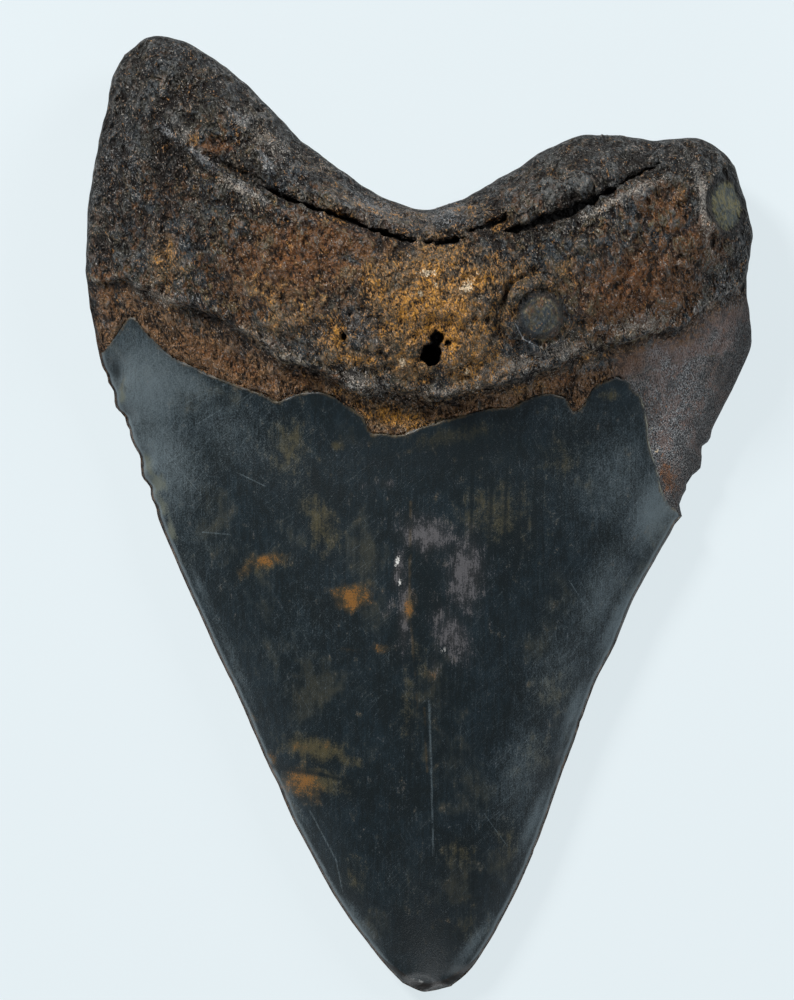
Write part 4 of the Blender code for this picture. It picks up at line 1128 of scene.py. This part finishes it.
pit_shade = tint(rise(ochre + rust * 0.5, 0.1, 0.8), SHADE_BROWN, WARM_SHADE)
crest_highlight_strength = 0.8 - on_band * 0.45 - rust * 0.25
root_colour = layered(
    root_colour,
    # Painted shade darkens the low grain, the furrows, the low scales and the painted hollows; painted
    # highlights lighten the high grain, the painted ridges and the crest lines.
    (rise(depth + rust * 0.2 + ochre * 0.4, 0.10, -0.50) * 0.93, pit_shade),
    (furrows * 0.75, pit_shade),
    (rise(scale_height + small * 0.12 + fine * 0.08, -0.12, -0.38) * 0.6, SHADE_BROWN),
    (rise(depth + finer * 0.3 + scale_height * 0.8, 0.35, 1.0) * 0.4, CREST_HIGHLIGHT),
    (rise(field("low") - depth * 0.4, 0.2, 0.9) * 0.75, SHADE_BROWN),
    (rise(field("high") + depth * 0.6 + crests * 0.3, 0.40, 1.1) * 0.6, CREST_HIGHLIGHT),
    (rise(blotchy + finer * 0.5 + fine * 0.3, 0.75, 1.15) * 0.5, OCHRE),
    (crests * rise(fine + finer * 0.5 + depth * 0.4, -0.3, 0.6) * crest_highlight_strength, CREST_HIGHLIGHT),
)
print("with hollows and crests:", len(material.node_tree.nodes), "nodes")

# %% [markdown]
# Pale grey lies on the raised parts, partly crust and partly painted highlight, with painted
# glints on its crests. Painted shade makes a dark line under the ledge, and painted highlights a
# pale one along its top and on some ridges. The ochre comes last, in flecks that grow denser
# towards the middle of the root.

# %% Crusts and painted highlights, ledge shade and ochre
ASH_AND_HIGHLIGHT = (0.105, 0.116, 0.124)
GLINT = (0.300, 0.320, 0.345)
HIGHLIGHT_BUFF = (0.480, 0.435, 0.380)
HIGHLIGHT_HAZE = (0.190, 0.163, 0.145)
AMBER = (0.680, 0.325, 0.055)

near_ledge = over_ledge + patchy * 0.7 + coarse * 0.6 + small * 0.35
ledge_top_highlight = rise(near_ledge, 0.5, 0.9) * rise(near_ledge, 1.9, 1.1) * rise(patchy + blotchy * 0.6, -0.2, 0.6)
root_colour = layered(
    root_colour,
    # Pale grey from the ash strokes, partly crust and partly painted highlight, then painted glints on their
    # crests.
    (stain("ash_and_highlight", 0.45, 1.3, depth * 0.9 + patchy * 0.3) * 0.25, ASH_AND_HIGHLIGHT),
    (stain("ash_and_highlight", 0.65, 1.4, crests * 0.8 + finer * 0.4 - 0.1) * 0.75, GLINT),
    # Painted shade: a dark line under the ledge.
    (rise(near_ledge, 0.35, 0.0) * rise(near_ledge, -1.0, -0.3) * 0.7, SHADE_BROWN),
    # Painted highlight along the top of the ledge.
    (ledge_top_highlight * rise(crests + fine * 0.5 + depth * 0.4, -0.1, 0.6) * 0.8, HIGHLIGHT_BUFF),
    # Painted highlights from the dust strokes: a dim haze, then pale flecks on the crests.
    (stain("raised_highlight", 0.2, 1.0, coarse * 0.3) * 0.45, HIGHLIGHT_HAZE),
    (stain("raised_highlight", 0.6, 1.3, crests * 0.9 + finer * 0.4) * 0.9, HIGHLIGHT_BUFF),
    (stain("ochre", 0.45, 1.25, fine * 0.55 + small * 0.35 + finer * 0.3 + patchy * 0.4) * 0.85, OCHRE),
    (stain("ochre", 0.95, 1.5, small * 0.5 + patchy * 0.4 + fine * 0.4 + finer * 0.3), AMBER),
)
print("with crusts and ochre:", len(material.node_tree.nodes), "nodes")

# %% [markdown]
# The round scar has a smooth floor with faint rings in a dark moat, and the oval one a grey and
# olive floor with a ring of painted shade round it. Cream flecks of lime lie over the ochre.
# Painted glints lie on the grain, and the root's rim is painted dark as shade. Pores, grooves and
# moats end nearly black, because little light gets out of them.

# %% Scars, flecks and pores
BLACK = (0.0060, 0.0055, 0.0055)
PIT_BLACK = (0.002, 0.002, 0.002)
SCAR_FLOOR = (0.090, 0.090, 0.064)
OVAL_GREY = (0.135, 0.158, 0.150)
OVAL_OLIVE = (0.320, 0.285, 0.140)
CREAM = (0.850, 0.680, 0.470)
RING_TURNS = 9.0

rings = point_gap(SCAR_CENTRE) * RING_TURNS
scar_floor = tint(rise(rings.math("SINE", rings) + fine * 0.5, -0.4, 0.8), SLATE_GREY, SCAR_FLOOR)
scar_rim = rise(smoothed + fine * 0.06, 0.40, 0.60) * rise(smoothed, 0.97, 0.85)
oval_floor = rise(in_oval + fine * 0.10 + coarse * 0.06, 0.50, 0.80)
oval_colour = tint(rise(coarse * 0.6 + fine * 0.6 + small * 0.4, -0.5, 0.6), OVAL_GREY, OVAL_OLIVE)
pore_mouths = sum(
    rise(point_gap(centre) + fine * 0.06, radius + 0.12, radius - 0.1) for centre, radius, _ in PORES
)
root_colour = layered(
    root_colour,
    (rise(smoothed, 0.6, 0.95) * rise(fine + coarse * 0.7, -0.7, 0.8) * 0.75, scar_floor),
    # Painted shade in the round scar's moat.
    (scar_rim * 0.75, SOOT_AND_SHADE),
    (stain("cream", 0.7, 0.95, small * 0.3 + fine * 0.3), CREAM),
    # Painted glints on the high points of the grain.
    (rise(finer + fine * 0.4 + depth * 0.3, 0.85, 1.5) * 0.35, GLINT),
    # Painted shade: the root darkens within about 1.5 mm of its rim.
    (rise(edge + small * 0.6 + coarse * 0.4, 1.5, 0.1) * 0.7, BLACK),
    (oval_floor * 0.9, oval_colour),
    # Painted shade: a dark ring round the oval dish.
    (rise(in_oval, 0.12, 0.30) * rise(in_oval, 0.62, 0.42) * 0.8, SOOT_AND_SHADE),
    (pore_mouths * 0.95, BLACK),
    (rise(field("hollow"), 0.3, 0.9), PIT_BLACK),
)
print("finished root colour:", len(material.node_tree.nodes), "nodes")

# %% [markdown]
# Enamel is denser than the root and took up less: it is a blue black with brown clouds,
# scratched in places. A painted sheen, broken by scratches, stands in for the lamps' reflection
# on its flanks, and a painted highlight runs just inside its cutting edges. Streaks run up the
# crown, and fine hairs cross it in four directions. Both are noise stretched very long, because
# there are far too many to place.

# %% Enamel colours
INK = (0.0022, 0.0060, 0.0078)
BLUE_BLACK = (0.0068, 0.0160, 0.0230)
HATCH = (0.052, 0.065, 0.070)
OLIVE = (0.062, 0.053, 0.025)
RUST_ORANGE = (0.210, 0.090, 0.017)
SLATE_SHEEN_AND_SCRATCH = (0.108, 0.140, 0.157)
SCUFFED = (0.100, 0.097, 0.104)
WORN_DARK = (0.026, 0.025, 0.027)
UMBER = (0.070, 0.050, 0.022)
FACET = (0.088, 0.098, 0.076)
HAIR_TURNS = (-38, -55, -4, 30)

streaks = grain((0.40, 8, 3), 3)
narrow_streaks = grain((0.18, 1.8, 2))
clouds = grain((5, 7, 6), 3, bend=0.6)
mottle = grain((1.3, 1.9, 1.6), 3)
specks = grain((0.20, 0.22, 0.20), 1)
hairs = sum(rise(grain((0.09, 4.5, 6), 0, turn), 0.75, 1.25) for turn in HAIR_TURNS)
ground = clouds * 0.5 + mottle * 0.4 + streaks * 0.35 + narrow_streaks * 0.25 + specks * 0.25
brown_haze = rise(clouds * 0.6 + mottle * 0.3 + streaks * 0.2 + grain((11, 14, 9), 1) * 0.6, 0.15, 1.1)
sheen = stain("sheen", 0.05, 1.3, hairs * 0.2 + narrow_streaks * 0.12 + mottle * 0.12 + specks * 0.25)
scuffs = mottle * 0.5 + narrow_streaks * 0.35 + specks * 0.3
enamel_colour = layered(
    tint(rise(ground, -0.6, 0.9), INK, BLUE_BLACK),
    (brown_haze * 0.35, OLIVE),
    (stain("olive", 0.25, 1.1, streaks * 0.15 + specks * 0.2 + mottle * 0.35) * 0.9, OLIVE),
    (hairs * rise(clouds, -0.6, 0.5) * 0.14, HATCH),
    # Painted sheen.
    (sheen * 0.8, SLATE_SHEEN_AND_SCRATCH),
    (stain("ink", 0.2, 1.1, mottle * 0.3 + streaks * 0.15) * 0.75, INK),
    (stain("facet", 0.2, 0.8, mottle * 0.35 + specks * 0.15) * 0.75, FACET),
    (stain("worn", 0.2, 1.0, scuffs * 0.5) * 0.6, WORN_DARK),
    (stain("worn", 0.55, 1.25, scuffs * 1.2) * 0.7, SCUFFED),
    (stain("orange", 0.1, 0.7, mottle * 0.3) * 0.6, UMBER),
    (stain("orange", 0.45, 1.0, mottle * 0.4 + specks * 0.3) * 0.8, RUST_ORANGE),
    (rise(specks + clouds * 0.2, 0.7, 1.4) * 0.35, SCUFFED),
    # Painted highlight just inside the cutting edges.
    (rise(edge + specks * 0.15 + mottle * 0.15, 0.95, 0.55) * 0.7, SLATE_SHEEN_AND_SCRATCH),
)
print("with enamel:", len(material.node_tree.nodes), "nodes")

# %% [markdown]
# The dentine laid bare at the right, where the enamel broke away, is a fine grain of dark and
# light specks with a violet brown cast. Rust gathers in its lower corner. It could share the
# root's colours, but it is another tissue, finer and even, so it gets a short recipe of its own.

# %% Dentine colours
DENTINE_DARK = (0.040, 0.042, 0.046)
DENTINE_LIGHT = (0.300, 0.308, 0.315)
VIOLET_BROWN = (0.190, 0.125, 0.106)
BURNT_ORANGE = (0.360, 0.130, 0.030)
DUSTY_RUST = (0.130, 0.066, 0.036)

dentine_colour = layered(
    tint(rise(finer * 0.9 + specks * 0.6 + small * 0.2, -0.6, 0.7), DENTINE_DARK, DENTINE_LIGHT),
    (rise(patchy * 0.6 + fine * 0.4, -0.2, 0.5) * 0.7, VIOLET_BROWN),
    (rise(near_ledge + patchy, -6.5, -1.5) * 0.7, VIOLET_BROWN),
    (rise(broad + coarse * 0.4, 0.0, -0.6) * 0.5, SOOT_AND_SHADE),
    (stain("ochre", 0.3, 0.9, small * 0.4 + fine * 0.4) * 0.85, BURNT_ORANGE),
    (stain("rust", 0.2, 1.1, coarse * 0.3 + finer * 0.3) * 0.7, DUSTY_RUST),
    # Darker within about 5 mm of the rim.
    (rise(edge + patchy * 2.0, 5.5, 0.5) * 0.75, SOOT_AND_SHADE),
)
print("with dentine:", len(material.node_tree.nodes), "nodes")

# %% [markdown]
# Some marks are single lines: scratches, a crack, the dark stripes that run up the enamel, and a
# pale line painted as a highlight on the lit rim of the round scar. Stretched noise can't put a
# line in a chosen place, so each is a straight stretch between two points, with a half width over
# which it fades out.

# %% Scratches and stripes
LIGHT_SCRATCHES = [
    ((1.3, -26), (1.6, -36), 0.28), ((1.6, -36), (1.9, -48), 0.22), ((-15.6, -42), (-11.9, -49), 0.2),
    ((-11.9, -49), (-11, -53.5), 0.16), ((-31.5, 13), (-28, 15), 0.15), ((-25.9, 6.2), (-21.8, 4.2), 0.15),
    ((-30.8, -2.3), (-27, -2.6), 0.18), ((-20, -41.5), (-24, -28), 0.12), ((-33, 16), (-24, 20), 0.1),
    ((21, -9), (24, -13.5), 0.12), ((9, -42), (12.5, -47), 0.1), ((-36, 9), (-31, 3), 0.1),
]
BROWN_LINES = [((-1.3, 2), (-1.5, -12), 0.35), ((-1.5, -12), (-0.4, -27), 0.3), ((0.6, -27), (1, -36), 0.3)]
DARK_CRACKS = [
    ((-21.1, -35.7), (-14, -36.6), 0.8), ((-14, -36.6), (-9.5, -37.6), 0.5), ((7.3, 8), (7.1, -6), 0.45),
    ((10.1, 6), (9.6, -6.5), 0.55), ((12.2, 6.5), (11.8, -4.5), 0.45), ((14.1, 6), (13.8, -4), 0.4),
    ((16.3, 8), (15.8, -3), 0.4),
]
# A pale line painted as a highlight on the lit rim of the round scar.
SCAR_RIM_HIGHLIGHTS = [((13.1, 26.6), (14.2, 24.5), 0.13), ((14.2, 24.5), (16.3, 23.5), 0.12)]
SCAR_RIM_HIGHLIGHT = (0.34, 0.36, 0.38)


def scratches(stretches):
    """1 on each line and 0 at its half width in mm, added up over all of them."""
    return sum(rise(line_gap(start, end), half_width, 0.0) for start, end, half_width in stretches)


enamel_colour = layered(
    enamel_colour,
    (scratches(LIGHT_SCRATCHES) * rise(narrow_streaks + specks, -1.4, 0.8) * 0.5, SLATE_SHEEN_AND_SCRATCH),
    (scratches(BROWN_LINES) * rise(mottle, -0.6, 0.6) * 0.45, UMBER),
    (scratches(DARK_CRACKS) * 0.8, INK),
)
# Painted highlight on the lit rim of the round scar.
root_colour = tint(scratches(SCAR_RIM_HIGHLIGHTS) * 0.9, root_colour, SCAR_RIM_HIGHLIGHT)
print("with scratches:", len(material.node_tree.nodes), "nodes")

# %% [markdown]
# Along its borders the enamel is stained brown, its cutting edge is worn down to a dark line,
# chalk sits in a few chips, and a highlight is painted on a few stretches of its border. These
# come last, because they cut across all that lies below.

# %% Borders of the enamel
CHALK = (0.60, 0.60, 0.58)
EDGE_DARK = (0.009, 0.007, 0.006)
EDGE_BROWN = (0.095, 0.048, 0.020)
LIT_EDGE = (0.24, 0.25, 0.21)
WORN_TIP_Y = (-62.5, -66.5)

chalk = stain("chalk", 0.55, 0.9, specks * 0.2 + fine * 0.15)
at_tip = rise(shader.node("ShaderNodeSeparateXYZ", None, {"Vector": flat_mm}, output=1), *WORN_TIP_Y)
enamel_rim = rise(to_enamel + fine * 0.15, 0.45, 0.05) * rise(mottle + specks * 0.3, -0.6, 0.5)
edge_band = rise((edge + mottle * 0.08) / (at_tip * 2.2 + 1.0), 0.50, 0.36)
edge_colour = tint(rise(mottle + specks * 0.6 - at_tip * 0.7, 0.0, 0.8), EDGE_DARK, EDGE_BROWN)
# Painted highlight: a thin lit line on the enamel's border where the lit strokes lie.
lit_line = rise(abs(to_enamel - 0.05), 0.12, 0.03) * stain("lit", 0.4, 1.1, mottle * 0.6 + specks * 0.2)
enamel_colour = layered(
    enamel_colour,
    (chalk, CHALK),
    (enamel_rim * 0.75, UMBER),
    (edge_band * 0.9, edge_colour),
    (lit_line * 0.8, LIT_EDGE),
)
dentine_colour = tint(chalk, dentine_colour, CREAM)
print("with borders:", len(material.node_tree.nodes), "nodes")

# %% [markdown]
# Three surfaces meet here, and each gets its own shader: matt root, polished enamel and the fine
# matt dentine. One shader with mixed inputs could do it, but three keep each one's shine and bump
# simple. The distance fields of the mesh say which one a point has. Their fine grain is a bump,
# because it is smaller than a face of the mesh.

# %% Three surfaces
BUMP_DEPTHS = {"root": 0.00070, "enamel": 0.000012, "dentine": 0.00020}
DENTINE_FROM_X = (26.0, 30.0)


def surface(colour, roughness, bump_height, bump_depth, specular):
    """A Principled shader whose fine relief is a bump of this depth in metres."""
    bump_inputs = {"Height": bump_height, "Distance": bump_depth, "Strength": 1.0}
    bump = shader.node("ShaderNodeBump", None, bump_inputs)
    inputs = {"Base Color": colour, "Roughness": roughness, "Normal": bump, "Specular IOR Level": specular}
    return shader.node("ShaderNodeBsdfPrincipled", None, inputs)


def mixed(factor, first, second):
    """The first surface where the factor is 0, and the second one where it is 1."""
    return shader.node("ShaderNodeMixShader", None, {0: factor, 1: first, 2: second})


root_bump = fine * 0.20 + small * 0.60 + coarse * 1.3 + blotchy * 1.3 + patchy * 0.8 + crests * 0.4
root_rough = rise(depth, 0.8, -0.4) * 0.30 + 0.36
root_surface = surface(root_colour, root_rough, root_bump * quiet, BUMP_DEPTHS["root"], 0.22)
enamel_rough = rise(field("sheen") + field("worn") + hairs * 0.3, 0.0, 1.3) * 0.15 + 0.42
enamel_bump = streaks * 0.2 + specks * 0.6 - hairs * 0.3
enamel_surface = surface(enamel_colour, enamel_rough, enamel_bump, BUMP_DEPTHS["enamel"], 0.40)
dentine_rough = finer * 0.05 + 0.6
dentine_bump = finer * 0.7 + fine * 0.5
dentine_surface = surface(dentine_colour, dentine_rough, dentine_bump, BUMP_DEPTHS["dentine"], 0.4)
on_crown = rise(over_ledge + coarse * 0.8, -0.4, -3.2)
at_right = rise(shader.node("ShaderNodeSeparateXYZ", None, {"Vector": flat_mm}) + coarse, *DENTINE_FROM_X)
has_enamel = rise(to_enamel + coarse * 0.16 + small * 0.18 + fine * 0.08, -0.12, 0.03)
worn_edge = rise(edge + mottle * 0.06 + specks * 0.04, 0.32, 0.20)
bare_surface = mixed(on_crown * at_right, root_surface, dentine_surface)
finish = mixed(has_enamel * (1.0 - worn_edge), bare_surface, enamel_surface)
shader.node("ShaderNodeOutputMaterial", None, {"Surface": finish})
tooth.data.materials.append(material)
print("finished material:", len(material.node_tree.nodes), "nodes")

# %% [markdown]
# The tooth lies on a pale table that glows like a light box, so that hardly any shadow is seen.
# It is one large square, a hair below the tooth, and belongs to the stage and not to the part.

# %% Table
TABLE_DROP = 0.0003
TABLE_HALF = 1.5
TABLE_COLOUR = (0.10, 0.108, 0.112, 1.0)
TABLE_GLOW = (0.83, 0.92, 0.96, 1.0)
table_corners = [(-1, -1), (1, -1), (1, 1), (-1, 1)]
table_mesh = bpy.data.meshes.new("table")
table_mesh.from_pydata([(TABLE_HALF * i, TABLE_HALF * j, 0.0) for i, j in table_corners], [], [(0, 1, 2, 3)])
table = bpy.data.objects.new("table", table_mesh)
table.location.z = -TABLE_DROP
bpy.context.scene.collection.objects.link(table)
table_material = bpy.data.materials.new("table")
table_material.use_nodes = True
table_settings = {
    "Base Color": TABLE_COLOUR, "Roughness": 0.9, "Specular IOR Level": 0.1,
    "Emission Color": TABLE_GLOW, "Emission Strength": 0.80,
}
for name, value in table_settings.items():
    table_material.node_tree.nodes["Principled BSDF"].inputs[name].default_value = value
table_mesh.materials.append(table_material)
print("table side, m:", 2 * TABLE_HALF)

# %% [markdown]
# Most of the light comes from low down all round, and the sky straight overhead is dim: that
# keeps the enamel dark in the middle and bright along its steep sides. An even sky would be
# simpler, but it would lay a grey veil over the enamel. Three soft lamps add the highlights.

# %% Sky and lamps
HORIZON_LIGHT, OVERHEAD_LIGHT = 0.90, 0.11
SKY_COLOUR = (0.88, 0.95, 1.0, 1.0)
# Name, place and size in metres, power in watts and colour of each lamp.
SOFTBOXES = [
    ("upper left light", (-0.50, 0.60, 0.60), 0.20, 12.5, (1.0, 0.98, 0.95)),
    ("front light", (0.05, -1.00, 0.27), 0.50, 4.0, (0.97, 0.99, 1.0)),
    ("upper right light", (0.65, 0.45, 0.55), 0.35, 4.5, (0.95, 0.98, 1.0)),
]
world = bpy.data.worlds.new("room")
world.use_nodes = True
world.node_tree.nodes.clear()
sky = Field(world.node_tree)
direction = sky.node("ShaderNodeTexCoord")
upness = sky.node("ShaderNodeSeparateXYZ", None, {"Vector": direction}, output=2)
ramp_ends = {"From Min": 0.02, "From Max": 0.32, "To Min": HORIZON_LIGHT, "To Max": OVERHEAD_LIGHT}
ramp = sky.node("ShaderNodeMapRange", {"interpolation_type": "SMOOTHSTEP"}, {"Value": upness, **ramp_ends})
background = sky.node("ShaderNodeBackground", None, {"Color": SKY_COLOUR, "Strength": ramp})
sky.node("ShaderNodeOutputWorld", None, {"Surface": background})
bpy.context.scene.world = world
for name, position, size, power, colour in SOFTBOXES:
    lamp_data = bpy.data.lights.new(name, "AREA")
    lamp_data.size, lamp_data.energy, lamp_data.color = size, power, colour
    lamp = bpy.data.objects.new(name, lamp_data)
    lamp.location = position
    lamp.rotation_euler = lamp.location.normalized().to_track_quat("Z", "Y").to_euler()
    bpy.context.scene.collection.objects.link(lamp)
bpy.context.scene.view_settings.view_transform = "Standard"
print("lamps:", len(SOFTBOXES))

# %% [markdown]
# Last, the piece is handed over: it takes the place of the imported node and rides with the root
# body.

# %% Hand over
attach(tooth, "root")
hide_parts(NODE)
